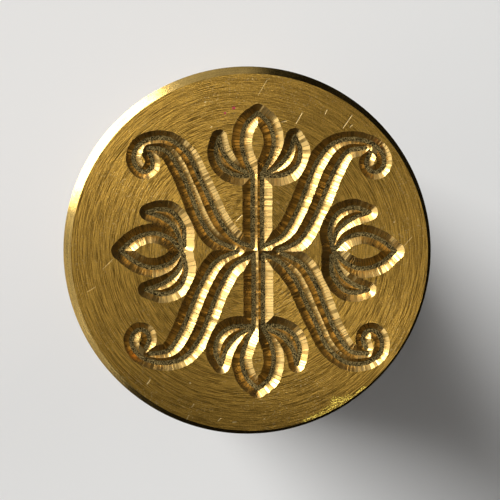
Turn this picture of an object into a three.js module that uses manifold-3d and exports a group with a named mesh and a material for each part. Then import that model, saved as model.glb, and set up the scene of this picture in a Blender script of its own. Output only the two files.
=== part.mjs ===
// A hand seal for wax: an engraved brass head that unscrews from a turned wooden handle.
// Millimetres, +Z up. The seal stands on the flat cap at the handle's end, with its engraved face up.

import {
  BufferAttribute,
  BufferGeometry,
  BoxGeometry,
  CatmullRomCurve3,
  CylinderGeometry,
  Group,
  LatheGeometry,
  Matrix4,
  Mesh,
  MeshStandardMaterial,
  Path,
  Vector2,
  Vector3,
} from "three";
import { mergeVertices } from "three/addons/utils/BufferGeometryUtils.js";
import Module from "manifold-3d";

const wasm = await Module();
wasm.setup();

// Seal head: a disc with a bevelled rim, a hollow-curved neck and a round boss. The bevel was turned a
// little off the disc's axis, so it is widest at the upper left.
const headRadius = 12.5;
const headWallHeight = 6.2;
const rimBevelWidth = 0.45;
const rimBevelHeight = 0.3;
const rimBevelOffsetX = 0.2;
const rimBevelOffsetY = -0.17;
const headUnderRound = 0.6;
const neckHeight = 4;
const bossRadius = 6.6;
const bossHeight = 3;
const bossChamfer = 0.4;

// Engraving: a conical cutter with a flat tip follows each path at its own depth.
const engravingDepth = 0.46;
const cutterTipRadius = 0.156;
const cutterFlankRunShare = 1.18;
const engravingOverrun = 0.05;
const engravingStepsPerSpan = 2;
const engravingEndSteps = 3;
const ornamentOffsetXShare = 0.059;
const ornamentOffsetYShare = -0.005;

// Screw that joins head and handle: a metric thread with flanks that meet in a ridge.
const threadPitch = 1;
const threadCrestRadius = 3.5;
const threadRootRadius = 2.95;
const threadClearance = 0.22;
const threadEndChamfer = 0.5;
const threadSides = 12;
const studInHead = 7;
const studAboveInsertFoot = 0.6;
const boreSpareDepth = 0.8;
const boreMouthChamfer = 0.35;
const studPassage = 0.4;

// Washer between the head's boss and the ferrule.
const washerOverhang = 0.2;
const washerThickness = 1;
const washerEdgeChamfer = 0.25;

// Thread insert in the handle's end: a barbed brass sleeve.
const insertWall = 1.18;
const insertLength = 7;
const insertBarbHeight = 0.35;
const insertBarbCount = 3;
const insertBarbLength = 1.6;
const insertFit = 0.15;

// Ferrule: a brass collar with a closed top and a bead round its foot, over a spigot of the handle.
const spigotWall = 1.1;
const ferruleWall = 0.9;
const ferruleTopThickness = 1.2;
const ferruleBeadRadius = 0.6;
const ferruleFit = 0.15;
const ferruleEdgeRound = 0.5;

// Pins through the ferrule's wall, between its bead and the insert.
const pinRadius = 0.6;
const pinLength = 3.2;
const pinFit = 0.2;
const pinRecess = 0.05;
const pinAboveBead = 1;
const pinBelowInsert = 1.3;
const pinAngles = [0, Math.PI];

// Handle: turned hardwood, widest at the cap. Its waist and grip are placed by shares of its bare length.
const handleWaistRadius = 7.1;
const handleGripRadius = 8.5;
const handleLength = 39;
const handleEdgeRound = 0.5;
const waistHeightShare = 0.41;
const gripHeightShare = 0.75;
const flareShare = 0.45;
const handleCurvePoints = 5;

// Cap and screw at the handle's end.
const capRadius = 10.8;
const capOverhang = 0.5;
const capThickness = 3;
const capFootRound = 0.9;
const capTopRound = 0.4;
const screwShankRadius = 1.6;
const screwRootRadius = 1.15;
const screwPitch = 1.4;
const screwHeadRadius = 3.2;
const screwLength = 13;
const screwTip = 2.4;
const screwRecess = 0.4;
const screwFit = 0.2;
const screwSides = 12;
const screwSlotWidth = 0.8;
const screwSlotDepth = 1;

// How finely round shapes are divided.
const roundSides = 40;
const pinSides = 12;
const arcPoints = 3;
const coveArcPoints = 5;
const cutOverrun = 1;

// Radii that follow from what each piece surrounds.
const studHoleRadius = threadCrestRadius + studPassage;
const washerRadius = bossRadius + washerOverhang;
const insertRadius = threadCrestRadius + threadClearance + insertWall;
const spigotRadius = insertRadius + insertFit + spigotWall;
const ferruleBoreRadius = spigotRadius + ferruleFit;
const ferruleRadius = ferruleBoreRadius + ferruleWall;
const handleButtRadius = capRadius - capOverhang;

// Heights of the joints between pieces, from the surface the seal stands on.
const handleBottom = capThickness;
const handleTop = handleBottom + handleLength;
const ferruleTop = handleTop + ferruleTopThickness;
const washerTop = ferruleTop + washerThickness;
const headBottom = washerTop;
const discBottom = headBottom + bossHeight + neckHeight;
const faceHeight = discBottom + headWallHeight + rimBevelHeight;
const studTop = headBottom + studInHead;
const insertBottom = handleTop - insertLength;
const studBottom = insertBottom + studAboveInsertFoot;
const pinHeight = insertBottom - pinBelowInsert;
const spigotBottom = pinHeight - pinAboveBead - ferruleBeadRadius * 2;
const screwHeadBottom = screwRecess;
const screwHeadTop = screwHeadBottom + screwHeadRadius - screwShankRadius;
const screwTipHeight = screwHeadBottom + screwLength;

// Tool paths of the engraving, as shares of the head's radius from the ornament's centre: x, y and depth.
// They make half of the ornament, and half a turn makes the other half.
const toolPathShares = [
  // upright stem
  [[-0.028, 0.418, 1], [-0.028, 0.021, 1]],
  [[0.023, 0.418, 1], [0.023, 0.021, 1]],
  // left scroll: outer and inner line
  [[-0.028, 0.021, 1], [-0.119, 0.059, 1], [-0.2, 0.154, 1], [-0.26, 0.277, 1], [-0.317, 0.396, 0.98],
    [-0.385, 0.532, 0.8], [-0.494, 0.611, 0.68], [-0.603, 0.604, 0.67], [-0.66, 0.562, 0.67],
    [-0.677, 0.511, 0.67], [-0.66, 0.456, 0.67], [-0.619, 0.43, 0.67], [-0.581, 0.451, 0.67],
    [-0.573, 0.492, 0.67], [-0.59, 0.527, 0.6]],
  [[-0.135, 0.015, 1], [-0.244, 0.072, 1], [-0.317, 0.184, 1], [-0.369, 0.315, 1],
    [-0.426, 0.44, 0.92], [-0.505, 0.546, 0.75], [-0.595, 0.56, 0.6]],
  // right scroll: outer and inner line
  [[0.023, 0.021, 1], [0.132, 0.081, 1], [0.208, 0.206, 1], [0.265, 0.347, 1], [0.325, 0.489, 0.98],
    [0.409, 0.584, 0.78], [0.518, 0.61, 0.67], [0.622, 0.584, 0.67], [0.673, 0.538, 0.67],
    [0.689, 0.489, 0.67], [0.673, 0.445, 0.67], [0.638, 0.429, 0.67], [0.603, 0.444, 0.67],
    [0.591, 0.483, 0.67], [0.611, 0.532, 0.6]],
  [[0.11, 0.002, 1], [0.222, 0.053, 1], [0.303, 0.173, 1], [0.363, 0.309, 1],
    [0.415, 0.434, 0.98], [0.488, 0.541, 0.8], [0.584, 0.56, 0.6]],
  // bud at the top of the stem
  [[0.001, 0.752, 0.85], [-0.062, 0.693, 1], [-0.087, 0.598, 1], [-0.071, 0.505, 1], [-0.028, 0.418, 1]],
  [[0.001, 0.752, 0.85], [0.059, 0.693, 1], [0.087, 0.598, 1], [0.066, 0.505, 1], [0.023, 0.418, 1]],
  // its left leaf
  [[-0.211, 0.617, 0.75], [-0.228, 0.538, 0.82], [-0.192, 0.453, 0.88], [-0.113, 0.411, 0.92],
    [-0.028, 0.41, 1]],
  [[-0.211, 0.617, 0.75], [-0.192, 0.541, 0.8], [-0.135, 0.468, 0.88], [-0.048, 0.421, 0.95]],
  // its right leaf
  [[0.2, 0.622, 0.8], [0.231, 0.551, 0.95], [0.213, 0.467, 1], [0.143, 0.415, 1], [0.039, 0.41, 1]],
  [[0.2, 0.622, 0.8], [0.17, 0.532, 0.95], [0.107, 0.459, 1], [0.034, 0.418, 1]],
  // bud at the right side
  [[0.747, -0.001, 0.9], [0.671, 0.059, 0.9], [0.578, 0.091, 0.93], [0.483, 0.07, 1], [0.412, 0.002, 1]],
  [[0.747, -0.001, 0.9], [0.662, -0.072, 0.94], [0.562, -0.096, 0.95], [0.475, -0.064, 1],
    [0.412, 0.002, 1]],
  // its upper leaf
  [[0.608, 0.211, 0.75], [0.518, 0.236, 0.8], [0.431, 0.2, 0.9], [0.392, 0.113, 1], [0.409, 0.015, 1]],
  [[0.608, 0.211, 0.75], [0.516, 0.177, 0.84], [0.434, 0.109, 0.92], [0.403, 0.026, 1]],
  // its lower leaf
  [[0.401, -0.028, 1], [0.407, -0.132, 1], [0.475, -0.216, 0.92], [0.54, -0.227, 0.84],
    [0.6, -0.211, 0.75]],
  [[0.415, -0.034, 1], [0.458, -0.132, 0.96], [0.524, -0.183, 0.88], [0.6, -0.211, 0.75]],
];

const brass = { color: 0x9a7a3c, roughness: 0.38, metalness: 1 };
const darkBrass = { color: 0x86692f, roughness: 0.45, metalness: 1 };
const steel = { color: 0x8a8c8e, roughness: 0.35, metalness: 1 };
const leather = { color: 0x6b3a22, roughness: 0.8, metalness: 0 };
const hardwood = { color: 0x5a3420, roughness: 0.5, metalness: 0 };

// A closed geometry as a solid. Its shared vertices are merged, and it is turned inside out if need be.
function solidFrom(geometry) {
  const bare = geometry.index === null ? geometry.clone() : geometry.toNonIndexed();
  bare.deleteAttribute("normal");
  bare.deleteAttribute("uv");
  const merged = mergeVertices(bare);
  const at = merged.getAttribute("position");
  const corners = [new Vector3(), new Vector3(), new Vector3()];
  const triangles = [];
  let volume = 0;
  for (let i = 0; i < merged.index.count; i += 3) {
    const triangle = [0, 1, 2].map((k) => merged.index.getX(i + k));
    if (new Set(triangle).size < 3) {
      continue;
    }
    triangle.forEach((vertex, k) => corners[k].fromBufferAttribute(at, vertex));
    volume += corners[0].dot(corners[1].clone().cross(corners[2]));
    triangles.push(triangle);
  }
  if (volume < 0) {
    triangles.forEach((triangle) => triangle.reverse());
  }
  return new wasm.Manifold(new wasm.Mesh({
    numProp: 3,
    vertProperties: Float32Array.from(at.array),
    triVerts: Uint32Array.from(triangles.flat()),
  }));
}

function geometryFrom(solid) {
  const mesh = solid.getMesh();
  const geometry = new BufferGeometry();
  geometry.setAttribute("position", new BufferAttribute(mesh.vertProperties, 3));
  geometry.setIndex(new BufferAttribute(mesh.triVerts, 1));
  geometry.computeVertexNormals();
  return geometry;
}

function piece(name, solid, finish) {
  const mesh = new Mesh(geometryFrom(solid), new MeshStandardMaterial(finish));
  mesh.name = name;
  return mesh;
}

// Turns a profile of [radius, height] points about the Z axis, or about an axis beside it.
function turned(profile, sides = roundSides, axisX = 0, axisY = 0) {
  const geometry = new LatheGeometry(profile.map(([r, z]) => new Vector2(r, z)), sides);
  return solidFrom(geometry.rotateX(Math.PI / 2).translate(axisX, axisY, 0));
}

// Points of a circular arc, from one angle to another.
function arc(centreRadius, centreHeight, radius, startAngle, endAngle, count = arcPoints) {
  const path = new Path();
  path.absarc(centreRadius, centreHeight, radius, startAngle, endAngle, endAngle < startAngle);
  return path.getSpacedPoints(count).map((point) => [point.x, point.y]);
}

// A turned outline through [radius, height] points. It runs parallel to the axis at each point, and
// reach is the share of the height between two points that the curve keeps near each of them.
function flowing(points, reach) {
  const outline = [points[0]];
  for (let i = 1; i < points.length; i += 1) {
    const [fromRadius, fromHeight] = points[i - 1];
    const [toRadius, toHeight] = points[i];
    const pull = (toHeight - fromHeight) * reach;
    const curve = new Path();
    curve.moveTo(fromRadius, fromHeight);
    curve.bezierCurveTo(fromRadius, fromHeight + pull, toRadius, toHeight - pull, toRadius, toHeight);
    outline.push(...curve.getPoints(handleCurvePoints).slice(1).map((point) => [point.x, point.y]));
  }
  return outline;
}

// A rod whose surface is one continuous right-hand helix of root and crest lines.
function helicalRod(bottom, top, rootRadius, crestRadius, pitch, sides) {
  const lineRadii = [rootRadius, crestRadius];
  const lines = lineRadii.length;
  const rows = Math.ceil((top - bottom) / pitch) * lines;
  const positions = [];
  const indices = [];
  for (let row = 0; row < rows + lines; row += 1) {
    for (let side = 0; side < sides; side += 1) {
      const angle = (side / sides) * Math.PI * 2;
      const radius = lineRadii[row % lines];
      const height = bottom + (row / lines + side / sides - 1) * pitch;
      positions.push(radius * Math.cos(angle), radius * Math.sin(angle), height);
    }
  }
  positions.push(lineRadii[rows % lines], 0, bottom + (rows / lines) * pitch);
  const vertex = (row, side) => (side < sides ? row * sides + side : (row + lines) * sides);
  for (let row = 0; row < rows; row += 1) {
    for (let side = 0; side < sides; side += 1) {
      const low = vertex(row, side);
      const lowNext = vertex(row, side + 1);
      const high = vertex(row + 1, side);
      const highNext = vertex(row + 1, side + 1);
      indices.push(low, lowNext, highNext, low, highNext, high);
    }
  }
  const capOff = (firstRow, axisHeight, facesUp) => {
    const axisVertex = positions.length / 3;
    positions.push(0, 0, axisHeight);
    const rim = [];
    for (let side = 0; side <= sides; side += 1) {
      rim.push(vertex(firstRow, side));
    }
    for (let row = firstRow + lines - 1; row > firstRow; row -= 1) {
      rim.push(vertex(row, 0));
    }
    rim.forEach((from, i) => {
      const to = rim[(i + 1) % rim.length];
      indices.push(axisVertex, ...(facesUp ? [from, to] : [to, from]));
    });
  };
  capOff(0, bottom - pitch, false);
  capOff(rows, bottom + (rows / lines) * pitch, true);
  const geometry = new BufferGeometry();
  geometry.setAttribute("position", new BufferAttribute(new Float32Array(positions), 3));
  geometry.setIndex(indices);
  return solidFrom(geometry);
}

// A threaded rod with chamfered ends. The helix keeps the same phase at every length.
function threadedRod(
  bottom, top, grow = 0, bottomChamfer = threadEndChamfer, topChamfer = threadEndChamfer) {
  const phaseBottom = Math.floor(bottom / threadPitch) * threadPitch;
  const rod = helicalRod(
    phaseBottom, top + threadPitch, threadRootRadius + grow, threadCrestRadius + grow,
    threadPitch, threadSides);
  const outer = threadCrestRadius + grow + threadClearance;
  const envelope = turned([
    [0, bottom],
    [outer - bottomChamfer - threadClearance, bottom],
    [outer, bottom + bottomChamfer + threadClearance],
    [outer, top - topChamfer - threadClearance],
    [outer - topChamfer - threadClearance, top],
    [0, top],
  ], threadSides);
  return rod.intersect(envelope);
}

// A closed skin over outlines of equally many corners. The first and last outline are each shut flat.
function loft(outlines) {
  const corners = outlines[0].length;
  const indices = [];
  for (let i = 0; i + 1 < outlines.length; i += 1) {
    for (let k = 0; k < corners; k += 1) {
      const near = i * corners + k;
      const nearNext = i * corners + (k + 1) % corners;
      indices.push(near, nearNext, nearNext + corners, near, nearNext + corners, near + corners);
    }
  }
  const geometry = new BufferGeometry();
  geometry.setAttribute("position", new BufferAttribute(new Float32Array(outlines.flat(2)), 3));
  geometry.setIndex(indices);
  return solidFrom(geometry);
}

function radialPin(radius, length, outerRadius, height, angle) {
  const geometry = new CylinderGeometry(radius, radius, length, pinSides);
  geometry.rotateZ(Math.PI / 2);
  geometry.translate(outerRadius - length / 2, 0, height);
  geometry.applyMatrix4(new Matrix4().makeRotationZ(angle));
  return solidFrom(geometry);
}

// Outline of the cutter across its path: two corners at its tip and two just above the face.
function cutterOutline(tip, leftAngle, rightAngle) {
  const topHeight = faceHeight + engravingOverrun;
  const topRadius = cutterTipRadius + (topHeight - tip.z) * cutterFlankRunShare;
  const corner = (radius, angle, height) => [
    tip.x + radius * Math.cos(angle), tip.y + radius * Math.sin(angle), height,
  ];
  return [
    corner(cutterTipRadius, leftAngle, tip.z),
    corner(cutterTipRadius, rightAngle, tip.z),
    corner(topRadius, rightAngle, topHeight),
    corner(topRadius, leftAngle, topHeight),
  ];
}

// Space that the cutter sweeps along one path, round at both ends, with the path turned half a turn or not.
function engravedLine(shares, halfTurn) {
  const sign = halfTurn ? -1 : 1;
  const curve = new CatmullRomCurve3(shares.map(([x, y, depth]) => new Vector3(
    (ornamentOffsetXShare + sign * x) * headRadius,
    (ornamentOffsetYShare + sign * y) * headRadius,
    faceHeight - depth * engravingDepth,
  )));
  const steps = shares.length === 2 ? 1 : (shares.length - 1) * engravingStepsPerSpan;
  const outlines = [];
  const addOutline = (t, turnBack) => {
    const along = curve.getTangent(t);
    const heading = Math.atan2(along.y, along.x);
    const square = Math.PI / 2 + turnBack;
    outlines.push(cutterOutline(curve.getPoint(t), heading + square, heading - square));
  };
  for (let i = engravingEndSteps; i > 0; i -= 1) {
    addOutline(0, (i / engravingEndSteps) * (Math.PI / 2));
  }
  for (let i = 0; i <= steps; i += 1) {
    addOutline(i / steps, 0);
  }
  for (let i = 1; i <= engravingEndSteps; i += 1) {
    addOutline(1, -(i / engravingEndSteps) * (Math.PI / 2));
  }
  return loft(outlines);
}

function makeSealHead() {
  const cove = Math.min(neckHeight, headRadius - headUnderRound - bossRadius);
  const blank = turned([
    [0, headBottom],
    [bossRadius - bossChamfer, headBottom],
    [bossRadius, headBottom + bossChamfer],
    [bossRadius, discBottom - cove],
    ...arc(bossRadius + cove, discBottom - cove, cove, Math.PI, Math.PI / 2, coveArcPoints).slice(1),
    [headRadius - headUnderRound, discBottom],
    [headRadius, discBottom + headUnderRound],
    [headRadius, faceHeight],
    [0, faceHeight],
  ]);
  const bevelled = turned([
    [0, headBottom - cutOverrun],
    [headRadius + rimBevelWidth, headBottom - cutOverrun],
    [headRadius + rimBevelWidth, faceHeight - rimBevelHeight * 2],
    [headRadius - rimBevelWidth, faceHeight],
    [0, faceHeight],
  ], roundSides, rimBevelOffsetX, rimBevelOffsetY);
  const boreTop = studTop + boreSpareDepth;
  const tap = threadedRod(headBottom - threadPitch, boreTop, threadClearance, 0, threadEndChamfer);
  const mouthRadius = threadCrestRadius + threadClearance + boreMouthChamfer;
  const mouth = turned([
    [0, headBottom - cutOverrun],
    [mouthRadius, headBottom - cutOverrun],
    [mouthRadius, headBottom],
    [threadRootRadius, headBottom + mouthRadius - threadRootRadius],
    [0, headBottom + mouthRadius - threadRootRadius],
  ], threadSides);
  let head = blank.intersect(bevelled).subtract(tap).subtract(mouth);
  for (const shares of toolPathShares) {
    for (const halfTurn of [false, true]) {
      head = head.subtract(engravedLine(shares, halfTurn));
    }
  }
  return head;
}

function makeWasher() {
  return turned([
    [studHoleRadius, ferruleTop],
    [washerRadius - washerEdgeChamfer, ferruleTop],
    [washerRadius, ferruleTop + washerEdgeChamfer],
    [washerRadius, washerTop - washerEdgeChamfer],
    [washerRadius - washerEdgeChamfer, washerTop],
    [studHoleRadius, washerTop],
    [studHoleRadius, ferruleTop],
  ]);
}

function makeThreadInsert() {
  const profile = [
    [0, insertBottom],
    [insertRadius - insertBarbHeight, insertBottom],
  ];
  for (let barb = 0; barb < insertBarbCount; barb += 1) {
    const start = insertBottom + (barb + 1) * insertBarbLength;
    profile.push([insertRadius - insertBarbHeight, start - insertBarbLength / 2], [insertRadius, start]);
    profile.push([insertRadius - insertBarbHeight, start]);
  }
  profile.push([insertRadius - insertBarbHeight, handleTop], [0, handleTop]);
  const tap = threadedRod(insertBottom - threadPitch, handleTop + threadPitch, threadClearance, 0, 0);
  return turned(profile).subtract(tap);
}

function makeFerrule() {
  const beadCentre = spigotBottom + ferruleBeadRadius;
  const body = turned([
    [studHoleRadius, ferruleTop],
    [studHoleRadius, handleTop],
    [ferruleBoreRadius, handleTop],
    [ferruleBoreRadius, spigotBottom],
    [ferruleRadius, spigotBottom],
    ...arc(ferruleRadius, beadCentre, ferruleBeadRadius, -Math.PI / 2, Math.PI / 2, coveArcPoints).slice(1),
    ...arc(ferruleRadius - ferruleEdgeRound, ferruleTop - ferruleEdgeRound, ferruleEdgeRound, 0, Math.PI / 2),
    [studHoleRadius, ferruleTop],
  ]);
  return pinAngles.reduce((ferrule, angle) => ferrule.subtract(pinHole(angle)), body);
}

function pinHole(angle) {
  const length = pinLength + pinFit + cutOverrun;
  return radialPin(pinRadius + pinFit, length, ferruleRadius + cutOverrun, pinHeight, angle);
}

function makePin(angle) {
  return radialPin(pinRadius, pinLength, ferruleRadius - pinRecess, pinHeight, angle);
}

function makeHandle() {
  const boreRadius = insertRadius + insertFit;
  const pilotTop = screwTipHeight + screwFit;
  const pilotRadius = screwShankRadius + screwFit;
  const edgeCentre = handleButtRadius - handleEdgeRound;
  const bareLength = spigotBottom - handleBottom;
  const outline = flowing([
    [handleButtRadius, handleBottom + handleEdgeRound],
    [handleWaistRadius, handleBottom + waistHeightShare * bareLength],
    [handleGripRadius, handleBottom + gripHeightShare * bareLength],
    [ferruleRadius - ferruleEdgeRound, spigotBottom],
  ], flareShare);
  const body = turned([
    [0, pilotTop],
    [pilotRadius, pilotTop - screwTip],
    [pilotRadius, handleBottom],
    ...arc(edgeCentre, handleBottom + handleEdgeRound, handleEdgeRound, -Math.PI / 2, 0),
    ...outline.slice(1),
    [spigotRadius, spigotBottom],
    [spigotRadius, handleTop],
    [boreRadius, handleTop],
    [boreRadius, insertBottom],
    [0, insertBottom],
  ]);
  return pinAngles.reduce((handle, angle) => handle.subtract(pinHole(angle)), body);
}

function makeButtCap() {
  const sinkBottom = screwHeadRadius + screwFit;
  const holeRadius = screwShankRadius + screwFit;
  return turned([
    [sinkBottom, 0],
    [capRadius - capFootRound, 0],
    ...arc(capRadius - capFootRound, capFootRound, capFootRound, -Math.PI / 2, 0).slice(1),
    ...arc(capRadius - capTopRound, capThickness - capTopRound, capTopRound, 0, Math.PI / 2),
    [holeRadius, capThickness],
    [holeRadius, screwHeadTop],
    [sinkBottom, screwHeadBottom],
    [sinkBottom, 0],
  ]);
}

// A countersunk screw. Its head's cone rises as much as it narrows.
function makeButtScrew() {
  const shankTop = handleBottom + screwPitch;
  const blank = turned([
    [0, screwHeadBottom],
    [screwHeadRadius, screwHeadBottom],
    [screwShankRadius, screwHeadTop],
    [screwShankRadius, screwTipHeight - screwTip],
    [0, screwTipHeight],
  ], screwSides);
  const shank = turned([
    [0, screwHeadBottom],
    [screwHeadRadius + cutOverrun, screwHeadBottom],
    [screwHeadRadius + cutOverrun, shankTop],
    [0, shankTop],
  ], screwSides);
  const thread = helicalRod(
    shankTop - screwPitch, screwTipHeight, screwRootRadius, screwShankRadius, screwPitch, screwSides);
  const slot = new BoxGeometry(screwHeadRadius * 2 + cutOverrun, screwSlotWidth, screwSlotDepth * 2);
  slot.translate(0, 0, screwHeadBottom);
  return blank.intersect(shank.add(thread)).subtract(solidFrom(slot));
}

const seal = new Group();
seal.add(
  piece("butt_cap", makeButtCap(), brass),
  piece("butt_screw", makeButtScrew(), darkBrass),
  piece("handle", makeHandle(), hardwood),
  piece("thread_insert", makeThreadInsert(), darkBrass),
  piece("ferrule", makeFerrule(), brass),
  piece("ferrule_pin_1", makePin(pinAngles[0]), darkBrass),
  piece("ferrule_pin_2", makePin(pinAngles[1]), darkBrass),
  piece("mounting_stud", threadedRod(studBottom, studTop), steel),
  piece("head_washer", makeWasher(), leather),
  piece("seal_head", makeSealHead(), brass),
);

export default seal;
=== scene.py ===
"""A hand seal for wax, dressed for its studio picture.

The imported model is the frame: every piece stands where its CAD node does. Each sub-assembly is a class
that holds its sizes in millimetres, shapes its pieces as a maker would, brings them to metres and gives
them their finish.
"""

import logging
import math
import random
from contextlib import contextmanager
from dataclasses import dataclass, field
from enum import Enum
from typing import Any, Callable, Iterator, Sequence, Union

import bpy
from mathutils import Matrix, Vector


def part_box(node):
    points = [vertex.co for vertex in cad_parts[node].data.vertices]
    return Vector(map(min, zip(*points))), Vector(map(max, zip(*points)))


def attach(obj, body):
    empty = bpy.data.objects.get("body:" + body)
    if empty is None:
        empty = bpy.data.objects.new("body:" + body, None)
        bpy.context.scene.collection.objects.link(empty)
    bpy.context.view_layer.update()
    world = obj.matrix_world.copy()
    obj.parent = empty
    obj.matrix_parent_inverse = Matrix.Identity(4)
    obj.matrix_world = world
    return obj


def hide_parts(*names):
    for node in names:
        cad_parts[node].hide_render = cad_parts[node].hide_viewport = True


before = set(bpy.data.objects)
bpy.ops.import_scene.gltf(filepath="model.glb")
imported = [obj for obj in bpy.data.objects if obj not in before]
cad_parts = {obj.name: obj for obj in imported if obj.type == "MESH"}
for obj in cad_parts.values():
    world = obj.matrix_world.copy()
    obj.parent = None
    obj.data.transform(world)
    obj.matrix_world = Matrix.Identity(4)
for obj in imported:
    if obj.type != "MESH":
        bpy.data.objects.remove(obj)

log = logging.getLogger("hand_seal")

# A place in a plane, or a radius and a height.
Point = tuple[float, float]

# Two values that belong together, such as the lowest and the highest of a range.
Pair = tuple[float, float]

Colour = tuple[float, float, float, float]

# What a shader socket takes: another socket, a number, a vector or a colour.
Value = Union[bpy.types.NodeSocket, float, Sequence[float]]

# Values for a node's inputs, by name or by number.
Inputs = dict[int | str, Value]

METRES_PER_MM = 0.001
MM_PER_METRE = 1000.0
QUARTER_TURN = math.pi / 2
WELD_DISTANCE = 0.0005
ARC_STEPS = 6
SMOOTH_ANGLE = 32.0
WHOLE: Pair = (0.0, 1.0)


class Body(Enum):
    """The bodies that move against each other."""

    HANDLE = "handle"
    WASHER = "washer"
    HEAD = "head"


class Slot(Enum):
    """The names of the material slots."""

    ENGRAVED_BRASS = "engraved_brass"
    TURNED_BRASS = "turned_brass"
    FIXING_BRASS = "fixing_brass"
    STUD_STEEL = "stud_steel"
    WASHER_LEATHER = "washer_leather"
    HANDLE_WOOD = "handle_wood"


class Cut(Enum):
    """How two solids are combined."""

    TAKE_AWAY = "DIFFERENCE"
    KEEP_COMMON = "INTERSECT"
    JOIN = "UNION"


def low_mm(node: str) -> Vector:
    """Gives a node's lowest corner in millimetres."""
    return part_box(node)[0] * MM_PER_METRE


def high_mm(node: str) -> Vector:
    """Gives a node's highest corner in millimetres."""
    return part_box(node)[1] * MM_PER_METRE


class ShaderTree:
    """The nodes of a material or of a node group, added and linked by short calls."""

    # Sockets of the colour mix by number, because several of them have the same name.
    mix_factor: int = 0
    mix_first: int = 6
    mix_second: int = 7
    mix_result: int = 2

    def __init__(self, tree: bpy.types.NodeTree) -> None:
        """Empties the tree and holds it.

        Args:
            tree: The node tree to fill.
        """
        self.tree = tree
        self.tree.nodes.clear()

    def feed(self, socket: bpy.types.NodeSocket, value: Value) -> None:
        """Links a socket to another one, or sets it to a constant.

        Args:
            socket: The input socket.
            value: An output socket, a number, a vector or a colour.
        """
        if isinstance(value, bpy.types.NodeSocket):
            self.tree.links.new(value, socket)
        else:
            socket.default_value = value

    def add(self, kind: str, inputs: Inputs | None = None, **settings: Any) -> bpy.types.Node:
        """Adds a node.

        Args:
            kind: The node's type.
            inputs: Values or sockets by input name or number.
            **settings: The node's own properties.

        Returns:
            The new node.
        """
        node = self.tree.nodes.new(kind)
        for name, setting in settings.items():
            setattr(node, name, setting)
        for name, value in (inputs or {}).items():
            self.feed(node.inputs[name], value)
        return node

    def maths(self, operation: str, first: Value, second: Value = 0.0, clamp: bool = False) -> Value:
        """Works out one number from two.

        Args:
            operation: The kind of sum.
            first: The first number.
            second: The second number.
            clamp: Whether the result is kept between 0 and 1.

        Returns:
            The socket with the result.
        """
        node = self.add("ShaderNodeMath", {0: first, 1: second}, operation=operation, use_clamp=clamp)
        return node.outputs[0]

    def vector(self, operation: str, first: Value, second: Value = (0.0, 0.0, 0.0)) -> Value:
        """Works out one vector from two.

        Args:
            operation: The kind of sum.
            first: The first vector.
            second: The second vector.

        Returns:
            The socket with the result.
        """
        node = self.add("ShaderNodeVectorMath", {0: first, 1: second}, operation=operation)
        return node.outputs["Value" if operation in ("LENGTH", "DISTANCE", "DOT_PRODUCT") else "Vector"]

    def ranged(self, value: Value, source: Pair, target: Pair) -> Value:
        """Maps a number from one range to another and stops at its ends.

        Args:
            value: The number.
            source: Its lowest and highest value.
            target: What those become.

        Returns:
            The socket with the result.
        """
        inputs = {0: value, 1: source[0], 2: source[1], 3: target[0], 4: target[1]}
        return self.add("ShaderNodeMapRange", inputs).outputs[0]

    def noise(self, vector: Value, scale: Value, detail: float, roughness: float) -> Value:
        """Gives soft noise of one number.

        Args:
            vector: Where it is read.
            scale: How many blotches there are to a metre.
            detail: How many finer layers it has.
            roughness: How strong those layers are.

        Returns:
            The socket with the noise.
        """
        inputs = {"Vector": vector, "Scale": scale, "Detail": detail, "Roughness": roughness}
        return self.add("ShaderNodeTexNoise", inputs).outputs[0]

    def colour(self, factor: Value, first: Value, second: Value, blend: str = "MIX") -> Value:
        """Mixes two colours.

        Args:
            factor: How much of the second there is.
            first: The first colour.
            second: The second colour.
            blend: How they are mixed.

        Returns:
            The socket with the mixed colour.
        """
        node = self.add("ShaderNodeMix", data_type="RGBA", blend_type=blend)
        self.feed(node.inputs[self.mix_factor], factor)
        self.feed(node.inputs[self.mix_first], first)
        self.feed(node.inputs[self.mix_second], second)
        return node.outputs[self.mix_result]

    def weighed(self, first: Value, first_share: Value, second: Value, second_share: Value) -> Value:
        """Adds two numbers, each of them times its own share.

        Args:
            first: The first number.
            first_share: How much of it counts.
            second: The second number.
            second_share: How much of it counts.

        Returns:
            The socket with the sum.
        """
        return self.maths("ADD", self.maths("MULTIPLY", first, first_share),
                          self.maths("MULTIPLY", second, second_share))

    def grey(self, shade: Value) -> Value:
        """Makes a grey of one number."""
        return self.add("ShaderNodeCombineXYZ", {0: shade, 1: shade, 2: shade}).outputs[0]

    def place(self) -> Value:
        """Gives the piece's own coordinates, in metres."""
        return self.add("ShaderNodeTexCoord").outputs["Object"]

    def bump(self, height: Value) -> Value:
        """Turns a height in metres into a surface direction."""
        return self.add("ShaderNodeBump", {"Height": height, "Distance": 1.0, "Strength": 1.0}).outputs[0]

    def surface(self, inputs: Inputs) -> None:
        """Ends a material with its shader.

        Args:
            inputs: The shader's values by name.
        """
        shader = self.add("ShaderNodeBsdfPrincipled", inputs)
        self.add("ShaderNodeOutputMaterial", {"Surface": shader.outputs[0]})


def new_material(name: str) -> tuple[bpy.types.Material, ShaderTree]:
    """Starts an empty material.

    Args:
        name: The material's name.

    Returns:
        The material and its nodes.
    """
    made = bpy.data.materials.new(name)
    made.use_nodes = True
    return made, ShaderTree(made.node_tree)


class Effect(Enum):
    """Surface effects that more than one finish uses."""

    TURNED_LINES = "turned_lines"
    SPECKLE = "speckle"
    TARNISH = "tarnish"
    STROKE = "stroke"


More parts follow.
